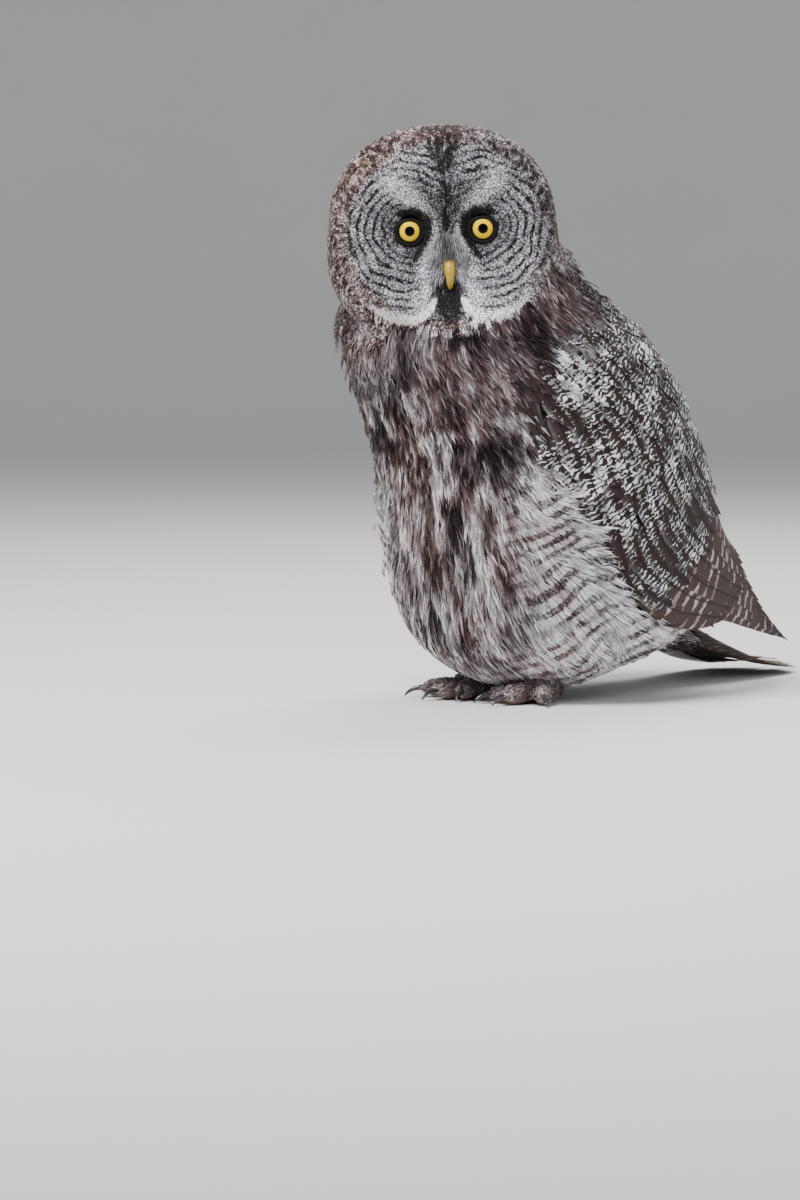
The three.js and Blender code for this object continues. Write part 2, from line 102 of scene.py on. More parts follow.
def smoothly_through(points, count=SHARES_COUNT):
    """Points along a centripetal curve through the given ones, evenly by station."""
    points = np.asarray(points, float)
    last = len(points) - 1
    made = []
    for t in np.linspace(0, last, count):
        i = min(int(t), last - 1)
        w = t - i
        b, c = points[i], points[i + 1]
        a = points[i - 1] if i else 2 * b - c
        d = points[i + 2] if i + 2 <= last else 2 * c - b
        ab, bc, cd = [max(np.linalg.norm(q - p), 1e-6) ** 0.5 for p, q in ((a, b), (b, c), (c, d))]
        leave = bc * ((b - a) / ab - (c - a) / (ab + bc) + (c - b) / bc)
        reach = bc * ((c - b) / bc - (d - b) / (bc + cd) + (d - c) / cd)
        made.append(b + leave * w + (3 * (c - b) - 2 * leave - reach) * w**2
                    + (2 * (b - c) + leave + reach) * w**3)
    return np.array(made)


SHIFT = np.array([SHIFT_Y, 0.0])
BACK = smoothly_through(np.array(BACK_LINE) + SHIFT)
FRONT = smoothly_through(np.array(FRONT_LINE) + SHIFT)
MIDDLE = smoothly_through(
    np.array(FRONT_LINE) * (1 - SECTION_MIDDLE) + np.array(BACK_LINE) * SECTION_MIDDLE + SHIFT)
WIDE = smoothly_through([[w] for w in WIDTHS])[:, 0]
SHARES = np.linspace(0, 1, len(MIDDLE))
LENGTHS = np.concatenate([[0], np.cumsum(np.linalg.norm(np.diff(MIDDLE, axis=0), axis=1))])


def ramp(value, low, high):
    """A smooth step from 0 at low to 1 at high."""
    t = np.clip((value - low) / (high - low), 0, 1)
    return t * t * (3 - 2 * t)


def mix(a, b, share):
    return a + (b - a) * share


def share_at(length):
    return np.interp(length, LENGTHS, SHARES)


def on_line(line, share):
    """The Y and Z of a profile line at shares of its way."""
    return np.stack([np.interp(share, SHARES, line[:, k]) for k in (0, 1)], -1)


def hull(share, degrees, lift=0.0):
    """Points on the body's outer surface: 0 degrees is the owl's left, 90 its back, -90 its belly."""
    share, degrees, lift = np.broadcast_arrays(share, degrees, lift)
    middle, back, front = [on_line(line, share) for line in (MIDDLE, BACK, FRONT)]
    wide = np.interp(share, SHARES, WIDE)
    c, s = np.cos(np.radians(degrees)), np.sin(np.radians(degrees))
    radius = np.where((s > 0)[..., None], back, front) - middle
    deep = np.linalg.norm(radius, axis=-1)
    outward = radius / deep[..., None]
    nx, nd = c / wide, np.abs(s) / deep
    size = np.hypot(nx, nd)
    reach = deep * np.abs(s) + nd / size * lift
    x = wide * c + nx / size * lift
    return np.concatenate([x[..., None], middle + outward * reach[..., None]], -1)


def closing(share):
    """How much of the hull's size the body still has, where it draws in at the tail's root."""
    return np.interp(share * STATIONS, [6.6, 7.3, 8, 8.5, 8.9], [1, 0.97, 0.82, 0.62, 0.34])


def body(share, degrees, lift=0.0):
    """Points on the body as the hull has it, but drawn in where the tail begins."""
    share = np.asarray(share, float)
    point = hull(share, degrees, lift)
    middle = np.concatenate([np.zeros_like(share)[..., None], on_line(MIDDLE, share)], -1)
    middle = np.broadcast_to(middle, point.shape)
    return middle + (point - middle) * closing(np.broadcast_to(share, point.shape[:-1]))[..., None]


def reach_of(share, degrees):
    """Millimetres round the body for each degree."""
    return np.linalg.norm(hull(share, degrees + 1) - hull(share, degrees), axis=-1)


def hull_normal(share, degrees):
    step = hull(share, degrees, 1.0) - hull(share, degrees, 0.0)
    return step / np.linalg.norm(step, axis=-1)[..., None]


# Noise and markings. A place's marks are its tone, from 0 for the darkest brown to 1 for white, its
# warmth, from grey to brown, the phase of the bars across it, and how much darker a bar is.


def chance_of(*whole):
    n = np.zeros(np.shape(whole[0]), np.int64)
    for k, prime in zip(whole, (73856093, 19349663, 83492791, 39916801)):
        n ^= np.asarray(k, np.int64) * prime
    n = (n ^ (n >> 13)) * 1274126177 & 0x7FFFFFFF
    n = (n ^ (n >> 15)) * 60493 & 0x7FFFFFFF
    return ((n ^ (n >> 12)) & 0xFFFF) / 65535.0


def noise(p, size, seed):
    """Smooth noise from 0 to 1 at points, with lumps of a size in millimetres, or one for each axis."""
    q = p / np.asarray(size, float) + seed * 17.3
    cell = np.floor(q).astype(np.int64)
    f = q - cell
    f = f * f * (3 - 2 * f)
    total = 0.0
    for dx in (0, 1):
        for dy in (0, 1):
            for dz in (0, 1):
                weight = (np.where(dx, f[..., 0], 1 - f[..., 0]) * np.where(dy, f[..., 1], 1 - f[..., 1])
                          * np.where(dz, f[..., 2], 1 - f[..., 2]))
                total = total + weight * chance_of(cell[..., 0] + dx, cell[..., 1] + dy, cell[..., 2] + dz,
                                                   np.full(cell.shape[:-1], seed))
    return total


def body_marks(p, length, turn, u, v, luck):
    """The marks of a small feather on the body, with painted cool shade on the flanks: u runs across it from
    -1 to 1, v down it.
    """
    around = np.abs(((turn + 270) % 360) - 180)  # 0 in front, 180 behind
    barred = np.clip(ramp(around, 18, 46) * ramp(length, 125, 190) + ramp(length, 255, 330), 0, 1)
    shaft = np.exp(-((u / 0.42) ** 2)) * ramp(v, 0.05, 0.3)
    blotch = ramp(noise(p, (15, 15, 26), 3), 0.42, 0.7)
    ruff = (1 - ramp(length, 70, 130)) * ramp(noise(p, (18, 18, 30), 16), 0.15, 0.5)
    streak = ramp(noise(p, (7, 7, 42), 5), 0.44, 0.68)
    fine = noise(p, 3.2, 8)
    upper = 1 - ramp(length, 120, 210)
    streaked = 0.95 - 0.5 * shaft * (0.3 + 0.7 * luck) - 0.36 * streak - (0.16 + 0.36 * upper) * blotch
    slope = np.abs(p[..., 0]) * 0.34 + p[..., 1] * 0.28 - p[..., 2] * 0.85
    phase = slope / 10.8 + 2.0 * noise(p, 44, 11) + 0.4 * noise(p, 13, 12)
    depth = 0.5 * barred * (0.12 + 0.88 * ramp(noise(p, 15, 13), 0.3, 0.62))
    streaked = mix(streaked, 0.5 + 0.5 * (noise(p, (3.4, 3.4, 11), 17) - 0.5), 0.72 * ruff)
    front = mix(streaked, 0.93 - 0.12 * luck - 0.15 * (noise(p, 18, 14) - 0.5), barred)
    behind_phase = v * 5.5 + 0.5 * np.abs(u) + luck
    behind = 0.6 - 0.3 * shaft
    back = ramp(around, 95, 125)
    tone = mix(front, behind, back) + 0.16 * (fine - 0.5) + 0.06 * ramp(v, 0.7, 1.0)
    # painted shade: the flanks' white is made cooler and greyer, as sky-lit shade tints it
    painted_cool_shade = 0.35 * ramp(around, 40, 80) * ramp(length, 150, 230) * (1 - back)
    warm = 0.62 + 0.5 * (noise(p, 30, 21) - 0.5) - painted_cool_shade
    phase = np.where(back > 0.5, behind_phase, phase)
    depth = mix(depth, 0.45, back) * np.abs(2 * back - 1)
    return np.stack([np.clip(tone, 0.04, 1), np.clip(warm, 0, 1), phase, depth], -1)


def head_place(p):
    """Points as distances to the head's side, up and front."""
    q = p - HEAD_MIDDLE
    return q @ HEAD_SIDE, q @ HEAD_UP, q @ HEAD_FRONT


def near_line(side, up, points, soft):
    """1 on a line of points across the face, each with a half width, and 0 past its soft edge."""
    best = np.zeros_like(side)
    for (ax, ay, aw), (bx, by, bw) in zip(points, points[1:]):
        length2 = (bx - ax) ** 2 + (by - ay) ** 2
        t = np.clip(((side - ax) * (bx - ax) + (up - ay) * (by - ay)) / length2, 0, 1)
        gap = np.hypot(side - mix(ax, bx, t), up - mix(ay, by, t)) / mix(aw, bw, t)
        best = np.maximum(best, 1 - ramp(gap, 1 - soft, 1 + soft))
    return best


# Face markings in millimetres across and up from the head's middle, each with a half width
BROW = [(42, 41, 9), (31, 31, 8), (20, 21, 6), (13, 11, 4.5), (10.5, -4, 4.5), (13, -18, 5.5), (19, -33, 7)]
EYE_BLACK = [(39, 16, 1.3), (33, 16, 3.4), (25, 14, 6.3), (18.5, 9, 7.4), (16.5, 0, 5.2), (19, -9, 3),
             (23.5, -16, 1.9), (27, -22, 1)]
MOUSTACHE = [(11, -54, 2), (16, -63, 3.8), (26, -69.5, 4.8), (41, -68, 4.4), (55, -62, 3.2), (62, -56, 1.8)]
PALE_CHEEK = [(15, -44, 5), (24, -53, 8)]
CHIN = [(0, -44, 8), (0, -51, 12), (0, -60, 11), (0, -68, 7)]
CENTRE_LINE = [(0, 78, 16), (0, 64, 10), (0, 46, 5.5), (0, 26, 3.6), (0, 8, 3), (0, -8, 2.6)]
RING_GAP = 6.5


def face_marks(p):
    """The marks of the facial disc and of what edges it, with painted light and shade in their warmth."""
    side, up, front = head_place(p)
    across = np.abs(side)
    eye = np.hypot(across - EYE_SIDE, (up - EYE_UP) * 0.97)
    angle = np.arctan2(up - EYE_UP, across - EYE_SIDE)
    disc = np.hypot(side / DISC_SIDE, up / DISC_UP)
    facing = ramp(front, 8, 20)
    outer = ramp(disc, 0.35, 0.85)
    speck = noise(p, 2.1, 35)
    phase = eye / RING_GAP + 0.9 * (noise(p, 15, 31) - 0.5) + 0.34 * (noise(p, 5, 32) - 0.5)
    outside = 1 - 0.35 * ramp(np.cos(angle), 0.1, -0.9) * ramp(np.sin(angle), 0.2, -0.6)
    broken = ramp(noise(p, 5.5, 33), 0.2, 0.6)
    depth = (0.2 + 0.34 * outer) * outside * (0.4 + 0.6 * broken) * ramp(eye, 13, 19)
    tone = 0.42 + 0.19 * outer + 0.16 * (noise(p, 9, 36) - 0.5) + 0.2 * (speck - 0.5)
    beyond = np.maximum(ramp(disc, 0.96, 1.04), 1 - facing)
    rim = ramp(noise(p, (2.6, 2.6, 2.6), 37), 0.32, 0.62)
    crown = mix(0.12 + 0.46 * rim, 0.34 + 0.36 * rim, ramp(-up, 10, 50)) + 0.24 * (noise(p, 14, 38) - 0.5)
    tone = mix(tone, crown, beyond)
    depth = depth * (1 - beyond)
    # painted light and shade: the terms in side make the head warmer on its lit right side and cooler
    # towards its left, where sky-lit shade tints it
    warm = mix(0.2, 0.75 - 0.25 * ramp(side, -20, 60), beyond)
    warm = warm + 0.35 * ramp(-side, 30, 80) * ramp(up, 20, 60)
    for line, level, soft, warmth in (
        (BROW, 0.74, 0.75, 0.45), (PALE_CHEEK, 0.76, 0.6, 0.2), (EYE_BLACK, 0.0, 0.4, 0.3),
    ):
        near = near_line(across, up, line, soft) * facing
        tone = mix(tone, level + 0.15 * (speck - 0.5) * (level > 0.5), near)
        warm = mix(warm, warmth, near)
        depth = depth * (1 - near)
    dots = 0.05 + 0.5 * ramp(noise(p, (2.4, 2.4, 3.6), 41), 0.5, 0.8)
    line = near_line(side, up, CENTRE_LINE, 0.6) * facing
    tone, depth = mix(tone, dots, line), depth * (1 - line)
    whisker = near_line(across, up, MOUSTACHE, 0.3) * facing
    tone, depth = mix(tone, 1.0 - 0.2 * (speck < 0.2), whisker), depth * (1 - whisker)
    below = [(x, y - 7.0, w) for x, y, w in MOUSTACHE[1:]]
    fringe = near_line(across, up, below, 0.5) * (1 - whisker) * facing
    tone = mix(tone, 0.14 + 0.75 * ramp(noise(p, (2.6, 2.6, 6), 43), 0.5, 0.7), fringe)
    chin = near_line(side, up, CHIN, 0.5) * (1 - whisker) * facing
    tone, depth = mix(tone, 0.03 + 0.3 * ramp(noise(p, 4, 45), 0.6, 0.9), chin), depth * (1 - chin)
    lores = 0.6 * (1 - ramp(np.hypot(side / 12, (up + 24) / 14), 0.5, 1.1)) * facing
    tone, depth = mix(tone, 0.4 + 0.3 * (speck - 0.5), lores), depth * (1 - lores)
    return np.stack([np.clip(tone, 0.02, 1), np.clip(warm, 0, 1), phase, depth], -1)


# Meshes from arrays

LOCK_FACES = np.array([
    (0, 1, 2), (0, 3, 4), (0, 4, 1), (1, 4, 5), (1, 5, 2), (2, 5, 3), (2, 3, 0), (3, 6, 4), (4, 6, 5),
    (5, 6, 3),
])
LOCK_U = np.array([-1, 1, 0, -1, 1, 0, 0]) * 0.0014
LOCK_V = np.array([-1.2, -1.2, -0.8, 0.1, 0.1, 0.2, 1.2]) * 0.0012
LOCK_MARKS = [0, 0, 0, 1, 1, 1, 2]  # which of a lock's marks, at root, middle and tip, each point has
LOCK_POINTS = len(LOCK_MARKS)
PIECE_LOCKS = 19000
FLOOR_GAP = 0.6  # the coat stays this far above the floor


def unit(v):
    return v / np.maximum(np.linalg.norm(v, axis=-1, keepdims=True), 1e-9)


MARKS = ("tone", "warm", "phase", "depth")


def set_attribute(mesh, title, values):
    held = mesh.attributes.new(title, "FLOAT", "POINT")
    held.data.foreach_set("value", values.astype(np.float32))


def set_marks(mesh, marks):
    for title, values in zip(MARKS, marks.T):
        set_attribute(mesh, title, values)


def linked(name, data):
    """A new object in the scene."""
    made = bpy.data.objects.new(name, data)
    bpy.context.scene.collection.objects.link(made)
    return made


def make_mesh(name, points, faces, marks, uv, normals):
    """An object from arrays: points in millimetres, triangles, and marks at each point."""
    mesh = bpy.data.meshes.new(name)
    mesh.vertices.add(len(points))
    mesh.vertices.foreach_set("co", (points * MM).astype(np.float32).ravel())
    mesh.loops.add(faces.size)
    mesh.loops.foreach_set("vertex_index", faces.astype(np.int32).ravel())
    mesh.polygons.add(len(faces))
    mesh.polygons.foreach_set("loop_start", np.arange(0, faces.size, 3, dtype=np.int32))
    mesh.polygons.foreach_set("use_smooth", np.ones(len(faces), bool))
    if marks is not None:
        set_marks(mesh, marks)
    layer = mesh.uv_layers.new(name="OFBake")
    layer.data.foreach_set("uv", uv[faces.ravel()].astype(np.float32).ravel())
    mesh.update()
    mesh.validate()
    if normals is not None:
        mesh.normals_split_custom_set_from_vertices(normals.astype(np.float32))
    return linked(name, mesh)


def locks_mesh(name, locks, material):
    """Makes thin tapered locks into pieces of at most PIECE_LOCKS each. Each lock has a root, middle and
    tip, the skin's normal, a width, the marks at the three points, and a place in the baking map."""
    total = len(locks["root"])
    parts = max(1, math.ceil(total / PIECE_LOCKS))
    edges = np.linspace(0, total, parts + 1).astype(int)
    for number, (a, b) in enumerate(zip(edges, edges[1:])):
        one = {key: values[a:b] for key, values in locks.items()}
        root, middle, tip, normal = one["root"], one["mid"], one["tip"], one["normal"]
        way = unit(tip - root)
        side = unit(np.cross(way, normal))
        up = unit(np.cross(side, way))
        half = one["width"][:, None] / 2
        thick = half * 0.7
        points = np.stack([
            root - side * half * 0.55, root + side * half * 0.55, root + up * thick * 0.6,
            middle - side * half, middle + side * half, middle + up * thick, tip,
        ], 1)
        lean = unit(normal + 0.25 * up)
        normals = np.stack([
            unit(lean - 0.5 * side), unit(lean + 0.5 * side), lean,
            unit(lean - 0.5 * side), unit(lean + 0.5 * side), lean, lean,
        ], 1)
        first = LOCK_POINTS * np.arange(b - a)
        faces = (LOCK_FACES[None] + first[:, None, None]).reshape(-1, 3)
        uv = np.stack([one["place"][:, 0, None] + LOCK_U, one["place"][:, 1, None] + LOCK_V], -1)
        title = name if parts == 1 else f"{name}_{number + 1}"
        piece = make_mesh(title, points.reshape(-1, 3), faces, one["marks"][:, LOCK_MARKS].reshape(-1, 4),
                          uv.reshape(-1, 2), normals.reshape(-1, 3))
        piece.data.materials.append(material)
        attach(piece, "root")


# Materials


def scaled(colour, by):
    return tuple(by * c for c in colour)


class Nodes:
    """A short way to write a material's nodes. An input is named, or is i and its number."""

    def __init__(self, name, roughness, **sockets):
        self.material = bpy.data.materials.new(name)
        self.material.use_nodes = True
        self.tree = self.material.node_tree
        self.shader = self.tree.nodes["Principled BSDF"]
        self.shader.inputs["Roughness"].default_value = roughness
        for title, value in sockets.items():
            self.shader.inputs[title.replace("_", " ")].default_value = value

    def add(self, kind, settings=(), **inputs):
        node = self.tree.nodes.new(kind)
        for key, value in dict(settings).items():
            setattr(node, key, value)
        for title, value in inputs.items():
            by_number = title[0] == "i" and title[1:].isdigit()
            self.put(value, node.inputs[int(title[1:]) if by_number else title])
        return node

    def put(self, value, socket):
        if isinstance(value, bpy.types.NodeSocket):
            self.tree.links.new(value, socket)
        else:
            socket.default_value = value

    def attribute(self, name):
        return self.add("ShaderNodeAttribute", {"attribute_name": name}).outputs["Fac"]

    def math(self, operation, a, b=0.0, c=0.0):
        return self.add("ShaderNodeMath", {"operation": operation}, i0=a, i1=b, i2=c).outputs[0]

    def ramp(self, value, stops):
        node = self.add("ShaderNodeValToRGB", i0=value)
        node.color_ramp.interpolation = "LINEAR"
        elements = node.color_ramp.elements
        while len(elements) < len(stops):
            elements.new(0.5)
        for element, (at, colour) in zip(elements, stops):
            element.position = at
            element.color = (*colour, 1.0)
        return node.outputs["Color"]

    def blend(self, share, a, b):
        node = self.add("ShaderNodeMix", {"data_type": "RGBA"})
        self.put(share, node.inputs[0])
        for value, socket in ((a, node.inputs[6]), (b, node.inputs[7])):
            self.put(value if isinstance(value, bpy.types.NodeSocket) else (*value, 1.0), socket)
        return node.outputs[2]

    def object_noise(self, scale, detail=2.0):
        place = self.add("ShaderNodeTexCoord").outputs["Object"]
        return self.add("ShaderNodeTexNoise", Vector=place, Scale=scale, Detail=detail).outputs["Fac"]

    def smooth_step(self, value, low, high):
        smooth = {"interpolation_type": "SMOOTHSTEP"}
        return self.add("ShaderNodeMapRange", smooth, i0=value, i1=low, i2=high).outputs[0]

    def bump(self, height, strength, distance):
        node = self.add("ShaderNodeBump", Strength=strength, Distance=distance, Height=height)
        self.tree.links.new(node.outputs["Normal"], self.shader.inputs["Normal"])

    def colour(self, socket):
        self.tree.links.new(socket, self.shader.inputs["Base Color"])
        return self.material


# The colours of a tone from 0 to 1, for grey places and for brown ones
COOL_TONES = [(0.0, (0.003, 0.003, 0.004)), (0.25, (0.022, 0.022, 0.028)), (0.5, (0.095, 0.098, 0.118)),
              (0.75, (0.36, 0.37, 0.42)), (1.0, (0.90, 0.91, 0.95))]
WARM_TONES = [(0.0, (0.006, 0.003, 0.003)), (0.25, (0.038, 0.019, 0.016)), (0.5, (0.145, 0.088, 0.074)),
              (0.75, (0.45, 0.36, 0.335)), (1.0, (0.92, 0.90, 0.90))]
# The pale bars and edges of the vanes
PALE_FLIGHT = (0.52, 0.43, 0.39)
PALE_COVERTS = (0.86, 0.86, 0.90)
PALE_TAIL = (0.46, 0.38, 0.34)
PALE_TAIL_COVERTS = (0.70, 0.68, 0.68)
EYE_DARK = (0.001, 0.001, 0.0015)
LID_COLOURS = ((0.003, 0.003, 0.003), (0.012, 0.010, 0.010))
TOE_COLOURS = ((0.16, 0.10, 0.07), (0.34, 0.25, 0.19))


def plumage_material(name, grain=0.08, grain_scale=900.0, thin=0.0):
    """Small feathers: the marks that their points carry, bars drawn from the phase, and a fine grain."""
    n = Nodes(name, 0.78, Sheen_Weight=0.03, Sheen_Roughness=0.5, Specular_IOR_Level=0.12)
    speck = n.smooth_step(n.object_noise(grain_scale), 0.37, 0.63)
    wave = n.math("SINE", n.math("MULTIPLY", n.attribute("phase"), 2 * math.pi))
    broken = n.smooth_step(n.object_noise(0.4 * grain_scale), 0.38, 0.58)
    broken = n.math("MULTIPLY_ADD", broken, 0.6, 0.4)
    bar = n.math("MULTIPLY", n.smooth_step(wave, thin - 0.25, thin + 0.55), n.attribute("depth"))
    bar = n.math("MULTIPLY", bar, broken)
    tone = n.math("SUBTRACT", n.attribute("tone"), bar)
    tone = n.math("ADD", tone, n.math("MULTIPLY_ADD", speck, grain, -0.5 * grain))
    colour = n.blend(n.attribute("warm"), n.ramp(tone, COOL_TONES), n.ramp(tone, WARM_TONES))
    n.bump(n.object_noise(1800.0), 0.25, 0.0004)
    return n.colour(colour)


def vane_material(name, base, pale, spacing, wander, broken, edge_pale, centre):
    """Flight feathers and coverts: pale wavy bars across a dark vane, more of them where it is dense."""
    n = Nodes(name, 0.62, Sheen_Weight=0.02, Specular_IOR_Level=0.15)
    place = n.add("ShaderNodeUVMap", {"uv_map": "vane"}).outputs["UV"]
    parts = n.add("ShaderNodeSeparateXYZ", i0=place)
    across, along = parts.outputs[0], parts.outputs[1]
    luck = n.attribute("luck")
    shifted = n.add("ShaderNodeCombineXYZ", i0=n.math("MULTIPLY", across, 8.0), i1=along,
                    i2=n.math("MULTIPLY", luck, 50.0)).outputs[0]
    wavy = n.add("ShaderNodeTexNoise", Vector=shifted, Scale=0.16, Detail=2.0).outputs["Fac"]
    fine = n.add("ShaderNodeTexNoise", Vector=shifted, Scale=0.5, Detail=3.0).outputs["Fac"]
    slant = n.math("MULTIPLY", n.math("ABSOLUTE", across), -2.2)
    phase = n.math("ADD", n.math("MULTIPLY_ADD", along, 2 * math.pi / spacing, slant),
                   n.math("MULTIPLY", wavy, wander))
    phase = n.math("ADD", phase, n.math("MULTIPLY", luck, 6.28))  # each vane starts elsewhere
    wave = n.math("ADD", n.math("SINE", phase), n.math("MULTIPLY_ADD", fine, broken, -0.5 * broken))
    patch = n.math("MULTIPLY_ADD", n.object_noise(42.0, 3.0), 5.0, -2.5)
    level = n.math("ADD", n.math("MULTIPLY_ADD", n.attribute("dense"), 2.6, -1.5), patch)
    edge = n.math("ABSOLUTE", across)
    level = n.math("ADD", level, n.math("MULTIPLY_ADD", n.smooth_step(edge, 0.0, 0.5), centre, -centre))
    bars = n.smooth_step(n.math("ADD", wave, level), 0.0, 0.4)
    shaft = n.math("LESS_THAN", edge, 0.07)
    edge = n.math("MULTIPLY", n.math("POWER", edge, 4.0), edge_pale)
    share = n.math("MINIMUM", n.math("ADD", bars, edge), 1.0)
    dark = n.blend(fine, scaled(base, 0.55), scaled(base, 1.5))
    dull = n.smooth_step(n.object_noise(70.0, 2.0), 0.4, 0.6)
    pale = n.blend(dull, scaled(pale, 0.42), pale)
    colour = n.blend(share, dark, pale)
    colour = n.blend(n.math("MULTIPLY", shaft, 0.8), colour, scaled(base, 0.4))
    barbs = n.math("SINE", n.math("MULTIPLY_ADD", along, 7.0, n.math("MULTIPLY", slant, 12.0)))
    n.bump(barbs, 0.25, 0.0003)
    return n.colour(colour)


# Settings that a user would change


class OwlSizes(bpy.types.PropertyGroup):
    coat_depth: bpy.props.FloatProperty(
        name="Coat depth", description="How deep the body's small feathers are", default=0.0065,
        min=0.002, max=0.02, unit="LENGTH")
    feather_gap: bpy.props.FloatProperty(
        name="Feather gap", description="From one small body feather to the next", default=0.0088,
        min=0.005, max=0.03, unit="LENGTH")
    face_gap: bpy.props.FloatProperty(
        name="Face gap", description="From one hair-fine face feather to the next", default=0.00092,
        min=0.0005, max=0.005, unit="LENGTH")
    skin_step: bpy.props.FloatProperty(
        name="Skin step", description="The size of the skin's faces", default=0.004,
        min=0.002, max=0.01, unit="LENGTH")
    view_azimuth: bpy.props.FloatProperty(
        name="View azimuth", description="Which side the camera stands on", default=math.radians(42.0),
        subtype="ANGLE")
    view_height: bpy.props.FloatProperty(
        name="View elevation", description="How far the camera looks down", default=math.radians(4.0),
        subtype="ANGLE")


class OwlColours(bpy.types.PropertyGroup):
    iris: bpy.props.FloatVectorProperty(
        name="Iris", description="The eye's ring", default=(0.78, 0.50, 0.0), size=3, subtype="COLOR")
    bill: bpy.props.FloatVectorProperty(
        name="Bill", description="The bill's horn", default=(0.42, 0.27, 0.015), size=3, subtype="COLOR")
    claw: bpy.props.FloatVectorProperty(
        name="Claws", description="The claws' horn", default=(0.012, 0.011, 0.012), size=3, subtype="COLOR")
    flight: bpy.props.FloatVectorProperty(
        name="Flight feathers", description="The dark of the wing", default=(0.050, 0.031, 0.027),
        size=3, subtype="COLOR")
    tail: bpy.props.FloatVectorProperty(
        name="Tail feathers", description="The ground of the tail", default=(0.15, 0.11, 0.10),
        size=3, subtype="COLOR")
    floor: bpy.props.FloatVectorProperty(
        name="Floor", description="The plain floor", default=(0.72, 0.72, 0.71), size=3, subtype="COLOR")


# The stage


# The floor's flat part and the curve at its rim, in metres, and the steps of that curve
FLOOR_FLAT = 5.0
FLOOR_CURVE = 3.0
FLOOR_STEPS = 18
# The photo's scale and size, and the pixel where the owl's own middle line meets the floor
PIXEL = 0.83 * MM
PHOTO_WIDE, PHOTO_TALL = 800, 1200
FOOT_PIXEL = (505.0, 700.0)
CAMERA_AWAY = 4.2  # metres
SENSOR = 36.0
# Each light's name, turn from the camera, rise, distance and size in metres, and power
LIGHTS = (
    ("key", -38.0, 52.0, 2.6, 1.0, 125.0),
    ("fill", 60.0, 25.0, 3.0, 2.4, 24.0),
    ("rim", 165.0, 50.0, 2.6, 1.6, 60.0),
)
LIGHT_AIM = Vector((0.0, 0.0, 0.25))  # a place inside the owl, in metres
SKY_COLOUR = (0.80, 0.82, 0.85, 1.0)
SKY_STRENGTH = 0.5


def way_to(azimuth, height):
    """The way from the owl to something that stands at an azimuth and a height, both as angles."""
    return Vector((math.sin(azimuth) * math.cos(height), -math.cos(azimuth) * math.cos(height),
                   math.sin(height)))


class OWL_OT_stage(bpy.types.Operator):
    """Adds the floor, the soft lights and the camera"""

    bl_idname = "owl.stage"
    bl_label = "Stage"

    def execute(self, context):
        sizes = context.scene.owl_sizes
        colours = context.scene.owl_colours
        shaped = bmesh.new()
        bmesh.ops.create_circle(shaped, segments=96, radius=FLOOR_FLAT, cap_ends=True, cap_tris=True)
        rim = [edge for edge in shaped.edges if edge.is_boundary]
        for step in range(1, FLOOR_STEPS + 1):
            turn = math.radians(90 / FLOOR_STEPS * step)
            level = FLOOR_CURVE * (1 - math.cos(turn)) * (1 + 0.6 * step / FLOOR_STEPS)
            reach = FLOOR_FLAT + FLOOR_CURVE * math.sin(turn)
            grown = bmesh.ops.extrude_edge_only(shaped, edges=rim)["geom"]
            for vertex in (one for one in grown if isinstance(one, bmesh.types.BMVert)):
                far = math.hypot(vertex.co.x, vertex.co.y)
                vertex.co = (vertex.co.x / far * reach, vertex.co.y / far * reach, level)
            rim = [one for one in grown if isinstance(one, bmesh.types.BMEdge)
                   and all(abs(end.co.z - level) < 1e-6 for end in one.verts)]
        for face in shaped.faces:
            face.smooth = True
        mesh = bpy.data.meshes.new("floor")
        shaped.to_mesh(mesh)
        shaped.free()
        floor = linked("floor", mesh)
        n = Nodes("floor_paint", 0.9)
        shade = n.object_noise(3.0)
        ground = tuple(colours.floor)
        mesh.materials.append(n.colour(n.blend(shade, ground, scaled(ground, 0.96))))

        world = bpy.data.worlds.new("studio")
        world.use_nodes = True
        background = world.node_tree.nodes["Background"]
        background.inputs["Color"].default_value = SKY_COLOUR
        background.inputs["Strength"].default_value = SKY_STRENGTH
        context.scene.world = world

        azimuth = sizes.view_azimuth
        right = Vector((math.cos(azimuth), math.sin(azimuth), 0.0))
        towards = way_to(azimuth, sizes.view_height)
        aim = Vector((0.0, SHIFT_Y * MM, 0.0))
        aim += right * (PHOTO_WIDE / 2 - FOOT_PIXEL[0]) * PIXEL
        aim += Vector((0.0, 0.0, (FOOT_PIXEL[1] - PHOTO_TALL / 2) * PIXEL))
        camera = linked("camera", bpy.data.cameras.new("camera"))
        camera.location = aim + towards * CAMERA_AWAY
        camera.rotation_euler = (-towards).to_track_quat("-Z", "Y").to_euler()
        camera.data.sensor_fit = "VERTICAL"
        camera.data.sensor_height = SENSOR
        camera.data.lens = SENSOR * CAMERA_AWAY / (PHOTO_TALL * PIXEL)
        context.scene.camera = camera

        for title, turn, rise, away, size, power in LIGHTS:
            way = way_to(azimuth + math.radians(turn), math.radians(rise))
            light = linked(title, bpy.data.lights.new(title, "AREA"))
            light.data.size = size
            light.data.energy = power
            light.location = LIGHT_AIM + way * away
            light.rotation_euler = (-way).to_track_quat("-Z", "Y").to_euler()
        return {"FINISHED"}


# The skin

SKIN_NODES = ("head", "neck", "torso", "leg_left", "leg_right")
SKIN_GROWTH = 0.0004  # metres that the nodes of flesh are pushed out, so that they join
HEAD_DEPTH, FACE_DEPTH, FOOT_DEPTH = 4.0, 1.6, 2.0  # how far the skin lies under the outer surface


def merged_copy(nodes, grow=0.0):
    """A bmesh of copies of nodes, each with its doubles merged, and pushed out by a little."""
    whole = bmesh.new()
    for node in nodes:
        one = bmesh.new()
        one.from_mesh(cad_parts[node].data)
        bmesh.ops.remove_doubles(one, verts=one.verts, dist=1e-6)
        one.normal_update()
        for vertex in one.verts:
            vertex.co += vertex.normal * grow
        held = bpy.data.meshes.new("held")
        one.to_mesh(held)
        one.free()
        whole.from_mesh(held)
        bpy.data.meshes.remove(held)
    return whole


